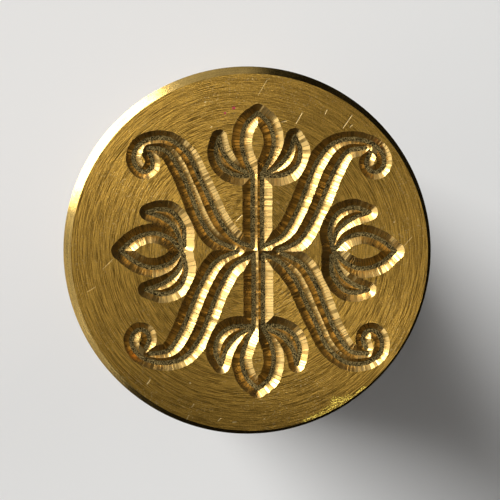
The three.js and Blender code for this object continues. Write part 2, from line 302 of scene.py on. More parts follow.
class Effects:
    """Builds each shared effect once, as a node group with named inputs and outputs."""

    line_detail: float = 3.0
    line_detail_strength: float = 0.6
    grain_detail: float = 3.0
    grain_detail_strength: float = 0.6
    patch_detail: float = 4.0
    patch_detail_strength: float = 0.55
    spark_chances: Pair = (0.86, 0.97)
    patch_noise: Pair = (0.36, 0.64)

    def __init__(self) -> None:
        """Starts with no groups."""
        self.groups: dict[Effect, bpy.types.NodeTree] = {}
        self.builders: dict[Effect, Callable[[], bpy.types.NodeTree]] = {
            Effect.TURNED_LINES: self.turned_lines,
            Effect.SPECKLE: self.speckle,
            Effect.TARNISH: self.tarnish,
            Effect.STROKE: self.stroke,
        }

    def use(self, tree: ShaderTree, effect: Effect, inputs: Inputs) -> bpy.types.Node:
        """Places an effect in a material.

        Args:
            tree: The material's nodes.
            effect: Which effect.
            inputs: Its values by name.

        Returns:
            The group node.
        """
        if effect not in self.groups:
            self.groups[effect] = self.builders[effect]()
        node = tree.add("ShaderNodeGroup", node_tree=self.groups[effect])
        for name, value in inputs.items():
            tree.feed(node.inputs[name], value)
        return node

    @staticmethod
    def start(
        effect: Effect, numbers: Sequence[str], outputs: Sequence[str], places: Sequence[str] = ("Place",),
    ) -> tuple[ShaderTree, bpy.types.Node, bpy.types.Node]:
        """Makes an empty group that takes places and numbers and puts out numbers.

        Args:
            effect: Which effect it is for.
            numbers: Names of its number inputs.
            outputs: Names of its outputs.
            places: Names of its vector inputs.

        Returns:
            The group's nodes, its input node and its output node.
        """
        group = bpy.data.node_groups.new(effect.value, "ShaderNodeTree")
        tree = ShaderTree(group)
        for name in places:
            group.interface.new_socket(name=name, in_out="INPUT", socket_type="NodeSocketVector")
        for name in numbers:
            group.interface.new_socket(name=name, in_out="INPUT", socket_type="NodeSocketFloat")
        for name in outputs:
            group.interface.new_socket(name=name, in_out="OUTPUT", socket_type="NodeSocketFloat")
        return tree, tree.add("NodeGroupInput"), tree.add("NodeGroupOutput")

    def turned_lines(self) -> bpy.types.NodeTree:
        """Builds lines that run round the seal's axis, as a lathe tool or a turned brush leaves them.

        Returns:
            The group. Pitch is the distance between lines in metres, and Arcs is how often they change
            in a turn.
        """
        tree, given, result = self.start(Effect.TURNED_LINES, ("Pitch", "Arcs"), ("Lines",))
        parts = tree.add("ShaderNodeSeparateXYZ", {0: given.outputs["Place"]})
        flat = tree.add("ShaderNodeCombineXYZ", {0: parts.outputs[0], 1: parts.outputs[1], 2: 0.0})
        radius = tree.vector("LENGTH", flat.outputs[0])
        direction = tree.vector("NORMALIZE", flat.outputs[0])
        round_parts = tree.add("ShaderNodeSeparateXYZ", {0: direction})
        per_line = tree.maths("DIVIDE", 1.0, given.outputs["Pitch"])
        spot = tree.add("ShaderNodeCombineXYZ", {
            0: tree.maths("MULTIPLY", round_parts.outputs[0], given.outputs["Arcs"]),
            1: tree.maths("MULTIPLY", round_parts.outputs[1], given.outputs["Arcs"]),
            2: tree.maths("MULTIPLY", parts.outputs[2], per_line),
        })
        noise = tree.add("ShaderNodeTexNoise", {
            "Vector": spot.outputs[0], "W": tree.maths("MULTIPLY", radius, per_line),
            "Scale": 1.0, "Detail": self.line_detail, "Roughness": self.line_detail_strength,
        }, noise_dimensions="4D")
        tree.feed(result.inputs["Lines"], noise.outputs[0])
        return tree.tree

    def speckle(self) -> bpy.types.NodeTree:
        """Builds the grain of a roughened surface, and the few grains that spark.

        Returns:
            The group. Size is the width of a grain in metres.
        """
        tree, given, result = self.start(Effect.SPECKLE, ("Size",), ("Grain", "Sparks"))
        per_grain = tree.maths("DIVIDE", 1.0, given.outputs["Size"])
        grain = tree.noise(
            given.outputs["Place"], per_grain, self.grain_detail, self.grain_detail_strength)
        cells = tree.add("ShaderNodeTexVoronoi", {"Vector": given.outputs["Place"], "Scale": per_grain})
        chance = tree.add("ShaderNodeSeparateXYZ", {0: cells.outputs["Color"]})
        tree.feed(result.inputs["Grain"], grain)
        tree.feed(result.inputs["Sparks"], tree.ranged(chance.outputs[0], self.spark_chances, WHOLE))
        return tree.tree

    def tarnish(self) -> bpy.types.NodeTree:
        """Builds the slow unevenness of handled metal and wood.

        Returns:
            The group. Size is the width of a patch in metres.
        """
        tree, given, result = self.start(Effect.TARNISH, ("Size",), ("Patches",))
        per_patch = tree.maths("DIVIDE", 1.0, given.outputs["Size"])
        broad = tree.noise(
            given.outputs["Place"], per_patch, self.patch_detail, self.patch_detail_strength)
        tree.feed(result.inputs["Patches"], tree.ranged(broad, self.patch_noise, WHOLE))
        return tree.tree

    def stroke(self) -> bpy.types.NodeTree:
        """Builds one straight mark, deepest in its middle line.

        Returns:
            The group. Start and End are the mark's ends, and Reach is half its width in metres.
        """
        tree, given, result = self.start(Effect.STROKE, ("Reach",), ("Mark",), ("Place", "Start", "End"))
        along = tree.vector("SUBTRACT", given.outputs["End"], given.outputs["Start"])
        offset = tree.vector("SUBTRACT", given.outputs["Place"], given.outputs["Start"])
        share = tree.maths(
            "DIVIDE", tree.vector("DOT_PRODUCT", offset, along),
            tree.vector("DOT_PRODUCT", along, along), clamp=True)
        step = tree.add("ShaderNodeVectorMath", {"Vector": along, "Scale": share}, operation="SCALE")
        distance = tree.vector("DISTANCE", offset, step.outputs["Vector"])
        ratio = tree.maths("DIVIDE", distance, given.outputs["Reach"])
        tree.feed(result.inputs["Mark"], tree.maths("SUBTRACT", 1.0, ratio, clamp=True))
        return tree.tree


@dataclass(frozen=True)
class MetalFinish:
    """A worked metal surface: its two tints, its polish, its tool lines and its grain."""

    name: str
    tint: Colour
    dull_tint: Colour
    roughness: float
    roughness_spread: float
    grain_size: float
    grain_height: float
    patch_size: float
    line_pitch: float = 0.3
    line_arcs: float = 1.0
    line_height: float = 0.0
    line_tint_share: float = 0.0
    line_polish_share: float = 0.5
    grain_share: float = 0.0
    grain_range: Pair = (0.38, 0.62)
    spark_share: float = 0.0
    line_range: Pair = (0.3, 0.7)
    polish_range: Pair = (0.2, 0.8)

    def material(self, effects: Effects) -> bpy.types.Material:
        """Builds the finish.

        Args:
            effects: The shared effects.

        Returns:
            The material.
        """
        made, tree = new_material(self.name)
        place = tree.place()
        lines = effects.use(tree, Effect.TURNED_LINES, {
            "Place": place, "Pitch": self.line_pitch * METRES_PER_MM, "Arcs": self.line_arcs,
        }).outputs["Lines"]
        speckle = effects.use(tree, Effect.SPECKLE, {
            "Place": place, "Size": self.grain_size * METRES_PER_MM,
        })
        patches = effects.use(tree, Effect.TARNISH, {
            "Place": place, "Size": self.patch_size * METRES_PER_MM,
        }).outputs["Patches"]
        grains = tree.ranged(speckle.outputs["Grain"], self.grain_range, WHOLE)
        tone = tree.weighed(patches, 1.0 - self.grain_share, grains, self.grain_share)
        shaded = tree.colour(tone, self.dull_tint, self.tint)
        shade = tree.ranged(
            lines, self.line_range, (1.0 - self.line_tint_share, 1.0 + self.line_tint_share))
        tinted = tree.colour(1.0, shaded, tree.grey(shade), "MULTIPLY")
        roughness = tree.ranged(
            tree.weighed(lines, self.line_polish_share, patches, 1.0 - self.line_polish_share),
            self.polish_range,
            (self.roughness + self.roughness_spread, self.roughness - self.roughness_spread))
        polish = tree.maths("SUBTRACT", roughness, tree.maths(
            "MULTIPLY", speckle.outputs["Sparks"], self.spark_share), clamp=True)
        height = tree.weighed(lines, self.line_height * METRES_PER_MM,
                              speckle.outputs["Grain"], self.grain_height * METRES_PER_MM)
        tree.surface({
            "Base Color": tinted, "Metallic": 1.0, "Roughness": polish, "Normal": tree.bump(height),
        })
        return made


BRASS_TINT: Colour = (0.72, 0.46, 0.15, 1.0)
BRASS_DULL_TINT: Colour = (0.62, 0.40, 0.13, 1.0)
FIXING_TINT: Colour = (0.58, 0.40, 0.16, 1.0)
FIXING_DULL_TINT: Colour = (0.46, 0.32, 0.13, 1.0)
WALL_TINT: Colour = (0.85, 0.56, 0.195, 1.0)
WALL_DULL_TINT: Colour = (0.72, 0.49, 0.16, 1.0)
FLOOR_TINT: Colour = (0.70, 0.51, 0.19, 1.0)
FLOOR_DULL_TINT: Colour = (0.020, 0.013, 0.004, 1.0)
# Ridges and dull facets of the cut walls: rougher metal, painted darker as shade.
SHADED_RIDGE_TINT: Colour = (0.52, 0.345, 0.11, 1.0)
SHADED_RIDGE_DULL_TINT: Colour = (0.27, 0.175, 0.05, 1.0)
# The bevel is turned brass like the disc's side, painted darker as shade.
SHADED_BEVEL_TINT: Colour = (0.46, 0.31, 0.095, 1.0)
SHADED_BEVEL_DULL_TINT: Colour = (0.34, 0.22, 0.06, 1.0)
STEEL_TINT: Colour = (0.58, 0.58, 0.57, 1.0)
STEEL_DULL_TINT: Colour = (0.44, 0.44, 0.44, 1.0)

CUT_WALL = MetalFinish(
    name="cut_wall", tint=WALL_TINT, dull_tint=WALL_DULL_TINT, roughness=0.29, roughness_spread=0.03,
    grain_size=0.07, grain_height=0.0008, patch_size=1.0, grain_share=0.6)
CUT_RIDGE = MetalFinish(
    name="cut_ridge", tint=SHADED_RIDGE_TINT, dull_tint=SHADED_RIDGE_DULL_TINT, roughness=0.40, roughness_spread=0.04,
    grain_size=0.1, grain_height=0.0, patch_size=0.6, grain_share=0.3)
CUT_FLOOR = MetalFinish(
    name="cut_floor", tint=FLOOR_TINT, dull_tint=FLOOR_DULL_TINT, roughness=0.46, roughness_spread=0.05,
    grain_size=0.075, grain_height=0.009, patch_size=0.5, grain_share=0.9, grain_range=(0.45, 0.62),
    spark_share=0.25)
# The bevel's finish: its darker colour is painted shade.
BEVEL_BRASS = MetalFinish(
    name="bevel_brass", tint=SHADED_BEVEL_TINT, dull_tint=SHADED_BEVEL_DULL_TINT, roughness=0.2, roughness_spread=0.05,
    line_pitch=0.1, line_arcs=2.5, line_height=0.003, line_tint_share=0.15, grain_size=0.12,
    grain_height=0.003, patch_size=1.5, grain_share=0.5)
TURNED_BRASS = MetalFinish(
    name="turned_brass", tint=BRASS_TINT, dull_tint=BRASS_DULL_TINT, roughness=0.26, roughness_spread=0.06,
    line_pitch=0.16, line_arcs=2.0, line_height=0.0012, line_tint_share=0.05, grain_size=0.2,
    grain_height=0.0004, patch_size=6.0)
FIXING_BRASS = MetalFinish(
    name="fixing_brass", tint=FIXING_TINT, dull_tint=FIXING_DULL_TINT, roughness=0.36,
    roughness_spread=0.06, line_pitch=0.12, line_arcs=2.0, line_height=0.001, line_tint_share=0.06,
    grain_size=0.15, grain_height=0.001, patch_size=3.0)
STUD_STEEL = MetalFinish(
    name="stud_steel", tint=STEEL_TINT, dull_tint=STEEL_DULL_TINT, roughness=0.32, roughness_spread=0.06,
    line_pitch=0.14, line_arcs=2.0, line_height=0.001, line_tint_share=0.05, grain_size=0.15,
    grain_height=0.0008, patch_size=3.0)


# Nicks in the face: each one's two ends and half its width, as shares of the head's radius from its axis.
NICK_SHARES: tuple[tuple[float, ...], ...] = (
    (0.299, 0.745, 0.267, 0.690, 0.0040),
    (0.571, 0.734, 0.522, 0.664, 0.0040),
    (0.435, 0.762, 0.424, 0.740, 0.0035),
    (0.572, 0.681, 0.560, 0.669, 0.0040),
    (0.213, 0.702, 0.190, 0.697, 0.0045),
    (-0.528, -0.707, -0.545, -0.729, 0.0040),
    (-0.028, 0.190, -0.060, 0.158, 0.0040),
    (-0.311, -0.724, -0.309, -0.723, 0.0060),
    (-0.229, 0.805, -0.227, 0.806, 0.0055),
    (-0.196, 0.669, -0.194, 0.670, 0.0060),
    (0.799, 0.152, 0.801, 0.153, 0.0050),
)

# Fainter scratches, written in the same way.
SCRATCH_SHARES: tuple[tuple[float, ...], ...] = (
    (0.108, 0.925, 0.060, 0.843, 0.0030),
    (0.897, 0.071, 0.843, 0.011, 0.0030),
    (-0.730, -0.049, -0.784, -0.103, 0.0026),
    (-0.827, -0.201, -0.870, -0.228, 0.0028),
    (-0.289, -0.838, -0.300, -0.854, 0.0040),
    (-0.142, -0.914, -0.158, -0.930, 0.0040),
    (-0.316, -0.898, -0.327, -0.919, 0.0035),
    (-0.077, -0.937, -0.060, -0.934, 0.0050),
    (0.092, -0.919, 0.094, -0.918, 0.0050),
    (0.027, 0.930, 0.030, 0.931, 0.0050),
)

# The burr along the lower right of the rim, whose bright flecks are painted highlights.
BURR_SHARES: tuple[tuple[float, ...], ...] = (
    (0.320, -0.935, 0.430, -0.888, 0.0240),
    (0.430, -0.888, 0.560, -0.812, 0.0360),
    (0.476, -0.822, 0.500, -0.870, 0.0300),
    (0.476, -0.822, 0.560, -0.812, 0.0260),
    (0.600, -0.785, 0.640, -0.750, 0.0160),
)

# Specks of old sealing wax on the face, written in the same way.
WAX_SHARES: tuple[tuple[float, ...], ...] = (
    (-0.074, 0.772, -0.070, 0.773, 0.0100),
    (-0.120, 0.746, -0.119, 0.743, 0.0070),
)


@dataclass(frozen=True)
class BrushedFace:
    """The head's flat face: brushed in circles, mottled in patches, nicked, with specks of old wax,
    painted glints, painted highlights on its burr and painted shade at its bottom.
    """

    name: str = "brushed_face"
    bright: Colour = (0.86, 0.500, 0.090, 1.0)
    dull: Colour = (0.09, 0.047, 0.007, 1.0)
    # The pale colour of the real nicks, also used for the painted glints.
    nick_and_glint_tint: Colour = (1.0, 0.80, 0.40, 1.0)
    wax_tint: Colour = (0.42, 0.03, 0.05, 1.0)
    # The burr is real; the bright yellow of its flecks is a painted highlight.
    burr_highlight_tint: Colour = (0.95, 0.72, 0.12, 1.0)
    nick_share: float = 0.65
    scratch_share: float = 0.35
    # Painted shade: how dark the face is painted at its bottom edge.
    painted_bottom_shade: float = 0.5
    line_pitch: float = 0.040
    line_arcs: float = 8.0
    line_height: float = 0.0088
    mottle_size: float = 0.09
    mottle_height: float = 0.003
    patch_size: float = 4.5
    roughness: float = 0.44
    roughness_spread: float = 0.08
    nick_depth: float = 0.02
    # Painted highlight: how strongly grains are painted pale as glints.
    glint_share: float = 0.2
    streak_noise: Pair = (0.40, 0.62)
    mottle_noise: Pair = (0.38, 0.64)
    mottle_tones: Pair = (0.25, 0.75)
    mottle_shares: Pair = (0.22, 0.42)
    top_direction: Point = (0.35, 0.94)
    top_reaches: Pair = (0.35, 0.8)
    top_mottle: float = 0.55
    bottom_direction: Point = (0.0, -1.0)
    bottom_reaches: Pair = (0.55, 0.95)
    bottom_mottle: float = 0.5
    burr_marks: Pair = (0.0, 0.5)
    burr_noise: Pair = (0.50, 0.56)
    wax_marks: Pair = (0.1, 0.4)

    def marks(
        self, tree: ShaderTree, effects: Effects, place: Value, shares: Sequence[tuple[float, ...]],
        radius: float,
    ) -> Value:
        """Adds up straight marks on the face.

        Args:
            tree: The material's nodes.
            effects: The shared effects.
            place: The piece's coordinates.
            shares: Each mark's ends and half width as shares of the head's radius.
            radius: The head's radius in millimetres.

        Returns:
            The socket with the strongest mark at each place.
        """
        level = tree.vector("MULTIPLY", place, (1.0, 1.0, 0.0))
        total: Value = 0.0
        for start_x, start_y, end_x, end_y, reach in shares:
            scale = radius * METRES_PER_MM
            mark = effects.use(tree, Effect.STROKE, {
                "Place": level, "Start": (start_x * scale, start_y * scale, 0.0),
                "End": (end_x * scale, end_y * scale, 0.0), "Reach": reach * scale,
            }).outputs["Mark"]
            total = tree.maths("MAXIMUM", total, mark)
        return total

    @staticmethod
    def reach(tree: ShaderTree, place: Value, direction: Point, radius: float) -> Value:
        """Measures how far a place lies in a direction, as a share of the head's radius.

        Args:
            tree: The material's nodes.
            place: The piece's coordinates.
            direction: The direction in the face.
            radius: The head's radius in millimetres.

        Returns:
            The socket with the share.
        """
        scale = 1.0 / (radius * METRES_PER_MM)
        return tree.vector("DOT_PRODUCT", place, (direction[0] * scale, direction[1] * scale, 0.0))

    def material(self, effects: Effects, radius: float) -> bpy.types.Material:
        """Builds the finish.

        Args:
            effects: The shared effects.
            radius: The head's radius in millimetres.

        Returns:
            The material.
        """
        made, tree = new_material(self.name)
        place = tree.place()
        lines = effects.use(tree, Effect.TURNED_LINES, {
            "Place": place, "Pitch": self.line_pitch * METRES_PER_MM, "Arcs": self.line_arcs,
        }).outputs["Lines"]
        speckle = effects.use(tree, Effect.SPECKLE, {
            "Place": place, "Size": self.mottle_size * METRES_PER_MM,
        })
        patches = effects.use(tree, Effect.TARNISH, {
            "Place": place, "Size": self.patch_size * METRES_PER_MM,
        }).outputs["Patches"]
        streaks = tree.ranged(lines, self.streak_noise, WHOLE)
        mottle = tree.ranged(speckle.outputs["Grain"], self.mottle_noise, self.mottle_tones)
        top = tree.ranged(
            self.reach(tree, place, self.top_direction, radius), self.top_reaches, (0.0, self.top_mottle))
        bottom = tree.ranged(
            self.reach(tree, place, self.bottom_direction, radius), self.bottom_reaches,
            (0.0, self.bottom_mottle))
        mix = tree.maths("MAXIMUM", tree.ranged(patches, WHOLE, self.mottle_shares),
                         tree.maths("MAXIMUM", top, bottom))
        texture = tree.weighed(streaks, tree.maths("SUBTRACT", 1.0, mix), mottle, mix)
        scratch = tree.maths(
            "MULTIPLY", self.marks(tree, effects, place, SCRATCH_SHARES, radius), self.scratch_share)
        nick = tree.maths("MAXIMUM", tree.maths(
            "MULTIPLY", self.marks(tree, effects, place, NICK_SHARES, radius), self.nick_share), scratch)
        burr_highlight_mask = tree.maths(
            "MULTIPLY",
            tree.ranged(self.marks(tree, effects, place, BURR_SHARES, radius), self.burr_marks, WHOLE),
            tree.ranged(speckle.outputs["Grain"], self.burr_noise, WHOLE))
        wax = tree.ranged(self.marks(tree, effects, place, WAX_SHARES, radius), self.wax_marks, WHOLE)
        brass = tree.colour(texture, self.dull, self.bright)
        # Painted shade: the colour is darkened towards the bottom of the face.
        shade = tree.ranged(bottom, (0.0, self.bottom_mottle), (1.0, self.painted_bottom_shade))
        brass = tree.colour(1.0, brass, tree.grey(shade), "MULTIPLY")
        # Painted highlight: the flecks of the real burr are painted bright yellow.
        brass = tree.colour(burr_highlight_mask, brass, self.burr_highlight_tint)
        # Painted highlight: a few grains are painted pale as glints, in the colour of the real nicks.
        glint = tree.maths(
            "MULTIPLY", speckle.outputs["Sparks"], tree.maths("MULTIPLY", patches, self.glint_share))
        brass = tree.colour(tree.maths("MAXIMUM", glint, nick), brass, self.nick_and_glint_tint)
        height = tree.weighed(
            streaks, self.line_height * METRES_PER_MM,
            mottle, tree.maths("MULTIPLY", mix, self.mottle_height * METRES_PER_MM))
        height = tree.maths(
            "SUBTRACT", height, tree.maths("MULTIPLY", nick, self.nick_depth * METRES_PER_MM))
        tree.surface({
            "Base Color": tree.colour(wax, brass, self.wax_tint),
            "Metallic": tree.maths("SUBTRACT", 1.0, wax),
            "Roughness": tree.ranged(texture, WHOLE, (
                self.roughness + self.roughness_spread, self.roughness - self.roughness_spread)),
            "Normal": tree.bump(height),
        })
        return made


@dataclass(frozen=True)
class WoodFinish:
    """Oiled hardwood whose grain runs along the handle."""

    name: str = "oiled_hardwood"
    late_wood: Colour = (0.060, 0.022, 0.010, 1.0)
    early_wood: Colour = (0.190, 0.080, 0.036, 1.0)
    ring_width: float = 1.5
    ring_stretch_share: float = 0.06
    pore_width: float = 0.16
    pore_stretch_share: float = 0.035
    pore_depth: float = 0.02
    pore_noise: Pair = (0.42, 0.62)
    pore_detail: float = 3.0
    pore_detail_strength: float = 0.65
    drift_per_metre: float = 120.0
    drift_detail: float = 3.0
    drift_detail_strength: float = 0.5
    drift_rings: float = 6.0
    patch_size: float = 8.0
    ring_share: float = 0.55
    pore_share: float = 0.3
    patch_share: float = 0.15
    roughness: float = 0.34
    pore_roughness: float = 0.16
    oil: float = 0.25
    oil_roughness: float = 0.2

    def material(self, effects: Effects) -> bpy.types.Material:
        """Builds the finish.

        Args:
            effects: The shared effects.

        Returns:
            The material.
        """
        made, tree = new_material(self.name)
        place = tree.place()
        rings = tree.vector("MULTIPLY", place, (1.0, 1.0, self.ring_stretch_share))
        drift = tree.noise(rings, self.drift_per_metre, self.drift_detail, self.drift_detail_strength)
        across = tree.add("ShaderNodeSeparateXYZ", {0: rings}).outputs[0]
        phase = tree.maths("ADD", tree.maths("DIVIDE", across, self.ring_width * METRES_PER_MM),
                           tree.maths("MULTIPLY", drift, self.drift_rings))
        ring = tree.maths("PINGPONG", phase, 1.0)
        fibres = tree.vector("MULTIPLY", place, (1.0, 1.0, self.pore_stretch_share))
        fibre_noise = tree.noise(
            fibres, 1.0 / (self.pore_width * METRES_PER_MM), self.pore_detail, self.pore_detail_strength)
        pores = tree.ranged(fibre_noise, self.pore_noise, WHOLE)
        patches = effects.use(tree, Effect.TARNISH, {
            "Place": place, "Size": self.patch_size * METRES_PER_MM,
        }).outputs["Patches"]
        tone = tree.weighed(ring, self.ring_share, pores, self.pore_share)
        tone = tree.maths("ADD", tone, tree.maths("MULTIPLY", patches, self.patch_share), clamp=True)
        tree.surface({
            "Base Color": tree.colour(tone, self.late_wood, self.early_wood),
            "Roughness": tree.ranged(
                pores, WHOLE, (self.roughness + self.pore_roughness, self.roughness)),
            "Coat Weight": self.oil, "Coat Roughness": self.oil_roughness,
            "Normal": tree.bump(tree.maths("MULTIPLY", pores, self.pore_depth * METRES_PER_MM)),
        })
        return made


@dataclass(frozen=True)
class LeatherFinish:
    """Vegetable-tanned leather with a pebbled grain."""

    name: str = "tanned_leather"
    valley: Colour = (0.085, 0.032, 0.014, 1.0)
    hill: Colour = (0.235, 0.105, 0.048, 1.0)
    pebble_width: float = 0.3
    pebble_height: float = 0.03
    pebble_edge: float = 0.35
    grain_noise: Pair = (0.3, 0.7)
    grain_tones: Pair = (0.55, 1.0)
    roughness: float = 0.68
    valley_roughness: float = 0.15

    def material(self, effects: Effects) -> bpy.types.Material:
        """Builds the finish.

        Args:
            effects: The shared effects.

        Returns:
            The material.
        """
        made, tree = new_material(self.name)
        place = tree.place()
        cells = tree.add("ShaderNodeTexVoronoi", {
            "Vector": place, "Scale": 1.0 / (self.pebble_width * METRES_PER_MM),
        }, feature="DISTANCE_TO_EDGE")
        pebble = tree.ranged(cells.outputs["Distance"], (0.0, self.pebble_edge), WHOLE)
        grain = effects.use(tree, Effect.SPECKLE, {
            "Place": place, "Size": self.pebble_width * METRES_PER_MM,
        }).outputs["Grain"]
        tone = tree.maths("MULTIPLY", pebble, tree.ranged(grain, self.grain_noise, self.grain_tones))
        tree.surface({
            "Base Color": tree.colour(tone, self.valley, self.hill),
            "Roughness": tree.ranged(
                pebble, WHOLE, (self.roughness + self.valley_roughness, self.roughness)),
            "Normal": tree.bump(tree.maths("MULTIPLY", pebble, self.pebble_height * METRES_PER_MM)),
        })
        return made


@contextmanager
def editing(piece: bpy.types.Object) -> Iterator[bpy.types.Object]:
    """Opens a piece alone in edit mode with all of it selected, and leaves edit mode at the end.

    Args:
        piece: The piece.

    Yields:
        The same piece.
    """
    activate(piece)
    bpy.ops.object.mode_set(mode="EDIT")
    bpy.ops.mesh.select_all(action="SELECT")
    yield piece
    bpy.ops.object.mode_set(mode="OBJECT")


def activate(piece: bpy.types.Object) -> None:
    """Makes a piece the only selected one, and the active one.

    Args:
        piece: The piece.
    """
    bpy.ops.object.select_all(action="DESELECT")
    piece.select_set(True)
    bpy.context.view_layer.objects.active = piece


def apply_modifier(piece: bpy.types.Object, kind: str, **settings: Any) -> None:
    """Adds a modifier to a piece and applies it.

    Args:
        piece: The piece.
        kind: The modifier's type.
        **settings: The modifier's own properties.
    """
    modifier = piece.modifiers.new(kind.lower(), kind)
    for name, setting in settings.items():
        setattr(modifier, name, setting)
    activate(piece)
    bpy.ops.object.modifier_apply(modifier=modifier.name)


def combine(piece: bpy.types.Object, tool: bpy.types.Object, cut: Cut) -> None:
    """Joins, cuts or trims a piece with a tool, which is used up.

    Args:
        piece: The piece that stays.
        tool: The other solid.
        cut: How they are combined.

    Raises:
        RuntimeError: If the cut changes nothing.
    """
    before = len(piece.data.vertices)
    apply_modifier(
        piece, "BOOLEAN", operation=cut.value, solver="MANIFOLD", material_mode="TRANSFER", object=tool)
    if len(piece.data.vertices) == before:
        raise RuntimeError(f"{tool.name} did not change {piece.name}")
    mesh = tool.data
    bpy.data.objects.remove(tool)
    bpy.data.meshes.remove(mesh)


def arc(
    centre: Point, radius: float, start: float, end: float, count: int = ARC_STEPS,
) -> list[Point]:
    """Gives the points of a circular arc.

    Args:
        centre: The arc's centre.
        radius: The arc's radius.
        start: The first angle.
        end: The last angle.
        count: How many steps there are.

    Returns:
        The points from first to last.
    """
    angles = [start + (end - start) * step / count for step in range(count + 1)]
    return [(centre[0] + radius * math.cos(a), centre[1] + radius * math.sin(a)) for a in angles]


@dataclass(frozen=True)
class Lathe:
    """Turns pieces and threads about the seal's axis, in millimetres."""

    steps: int = 128
    thread_steps: int = 48
    crest_clearance_share: float = 0.25

    @staticmethod
    def outline(name: str, points: Sequence[Point]) -> bpy.types.Object:
        """Draws an outline of radius and height points as a chain of edges.

        Args:
            name: The piece's name.
            points: The outline.

        Returns:
            The chain, still to be turned.
        """
        bpy.ops.object.select_all(action="DESELECT")
        bpy.ops.mesh.primitive_plane_add(size=1, location=(0, 0, 0))
        piece = bpy.context.object
        piece.name = name
        piece.data.name = name
        with editing(piece):
            bpy.ops.mesh.merge(type="CENTER")
            bpy.ops.transform.translate(value=(points[0][0], 0, points[0][1]))
            for (radius, height), (next_radius, next_height) in zip(points, points[1:]):
                step = (next_radius - radius, 0, next_height - height)
                bpy.ops.mesh.extrude_region_move(TRANSFORM_OT_translate={"value": step})
        return piece

    def turn(self, name: str, points: Sequence[Point], steps: int | None = None) -> bpy.types.Object:
        """Turns an outline that starts and ends on the axis, or closes on itself.

        Args:
            name: The piece's name.
            points: The outline.
            steps: How many sides the piece has.

        Returns:
            The closed piece.
        """
        piece = self.outline(name, points)
        with editing(piece):
            bpy.ops.mesh.spin(steps=steps or self.steps, angle=math.tau, center=(0, 0, 0), axis=(0, 0, 1))
            bpy.ops.mesh.select_all(action="SELECT")
            bpy.ops.mesh.remove_doubles(threshold=WELD_DISTANCE)
            bpy.ops.mesh.normals_make_consistent(inside=False)
        return piece

    def thread(self, name: str, heights: Pair, radii: Pair, pitch: float) -> bpy.types.Object:
        """Winds a right-hand thread whose phase doesn't depend on where it starts.

        Args:
            name: The piece's name.
            heights: Where the thread starts and ends. It is cut to length afterwards.
            radii: Its root and crest radius.
            pitch: Its rise in one turn.

        Returns:
            The closed rod, a turn or two longer than asked for at each end.
        """
        root, crest = radii
        bottom = math.floor(heights[0] / pitch - 1) * pitch
        turns = math.ceil((heights[1] - bottom) / pitch) + 1
        piece = self.outline(name, [(root, bottom), (crest, bottom + pitch / 2), (root, bottom + pitch)])
        apply_modifier(
            piece, "SCREW", axis="Z", angle=math.tau, screw_offset=pitch, iterations=turns,
            steps=self.thread_steps, render_steps=self.thread_steps)
        with editing(piece):
            bpy.ops.mesh.remove_doubles(threshold=WELD_DISTANCE)
        top = bottom + turns * pitch
        self.close_end(piece, bottom, -pitch)
        self.close_end(piece, top, pitch)
        with editing(piece):
            bpy.ops.mesh.normals_make_consistent(inside=False)
        return piece

    @staticmethod
    def close_end(piece: bpy.types.Object, height: float, reach: float) -> None:
        """Closes the open end of a thread that lies near a height by a cone to a point on the axis.

        Args:
            piece: The thread.
            height: Where that end starts.
            reach: How far beyond it the point lies, downwards if negative.
        """
        with editing(piece):
            bpy.ops.mesh.select_mode(type="EDGE")
            bpy.ops.mesh.select_non_manifold(extend=False)
            bpy.ops.object.mode_set(mode="OBJECT")
            points = piece.data.vertices
            middle = sum(point.co.z for point in points) / len(points)
            for edge in piece.data.edges:
                if edge.select:
                    lies_low = points[edge.vertices[0]].co.z < middle
                    edge.select = lies_low == (reach < 0)
            for point in points:
                point.select = False
            for edge in piece.data.edges:
                if edge.select:
                    points[edge.vertices[0]].select = True
                    points[edge.vertices[1]].select = True
            for face in piece.data.polygons:
                face.select = False
            bpy.ops.object.mode_set(mode="EDIT")
            bpy.ops.mesh.extrude_region_move(TRANSFORM_OT_translate={"value": (0, 0, reach)})
            bpy.ops.mesh.merge(type="CENTER")
            bpy.ops.object.mode_set(mode="OBJECT")
            for point in piece.data.vertices:
                if point.select:
                    point.co = Vector((0, 0, height + reach))
            bpy.ops.object.mode_set(mode="EDIT")
            bpy.ops.mesh.select_mode(type="VERT")

    def threaded_rod(
        self, name: str, heights: Pair, radii: Pair, pitch: float, chamfers: Pair,
    ) -> bpy.types.Object:
        """Makes a threaded rod with chamfered ends.

        Args:
            name: The piece's name.
            heights: Where it starts and ends.
            radii: Its root and crest radius.
            pitch: Its rise in one turn.
            chamfers: How much its lower and upper end are chamfered.

        Returns:
            The closed rod.
        """
        bottom, top = heights
        clearance = pitch * self.crest_clearance_share
        outer = radii[1] + clearance
        low, high = chamfers[0] + clearance, chamfers[1] + clearance
        rod = self.thread(name, heights, radii, pitch)
        sleeve = self.turn(name + "_length", [
            (0, bottom), (outer - low, bottom), (outer, bottom + low),
            (outer, top - high), (outer - high, top), (0, top),
        ])
        combine(rod, sleeve, Cut.KEEP_COMMON)
        return rod


def finish_piece(
    piece: bpy.types.Object, body: Body, nodes: Sequence[str],
    smooth_angle: float = SMOOTH_ANGLE,
) -> bpy.types.Object:
    """Brings a piece to metres, smooths its round faces and sets it in the frame.

    Args:
        piece: The piece, in millimetres.
        body: What it moves with.
        nodes: The CAD nodes that it stands for.
        smooth_angle: The sharpest edge that is smoothed, in degrees.

    Returns:
        The piece.
    """
    piece.data.transform(Matrix.Scale(METRES_PER_MM, 4))
    activate(piece)
    bpy.ops.object.shade_smooth_by_angle(angle=math.radians(smooth_angle))
    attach(piece, body.value)
    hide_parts(*nodes)
    return piece


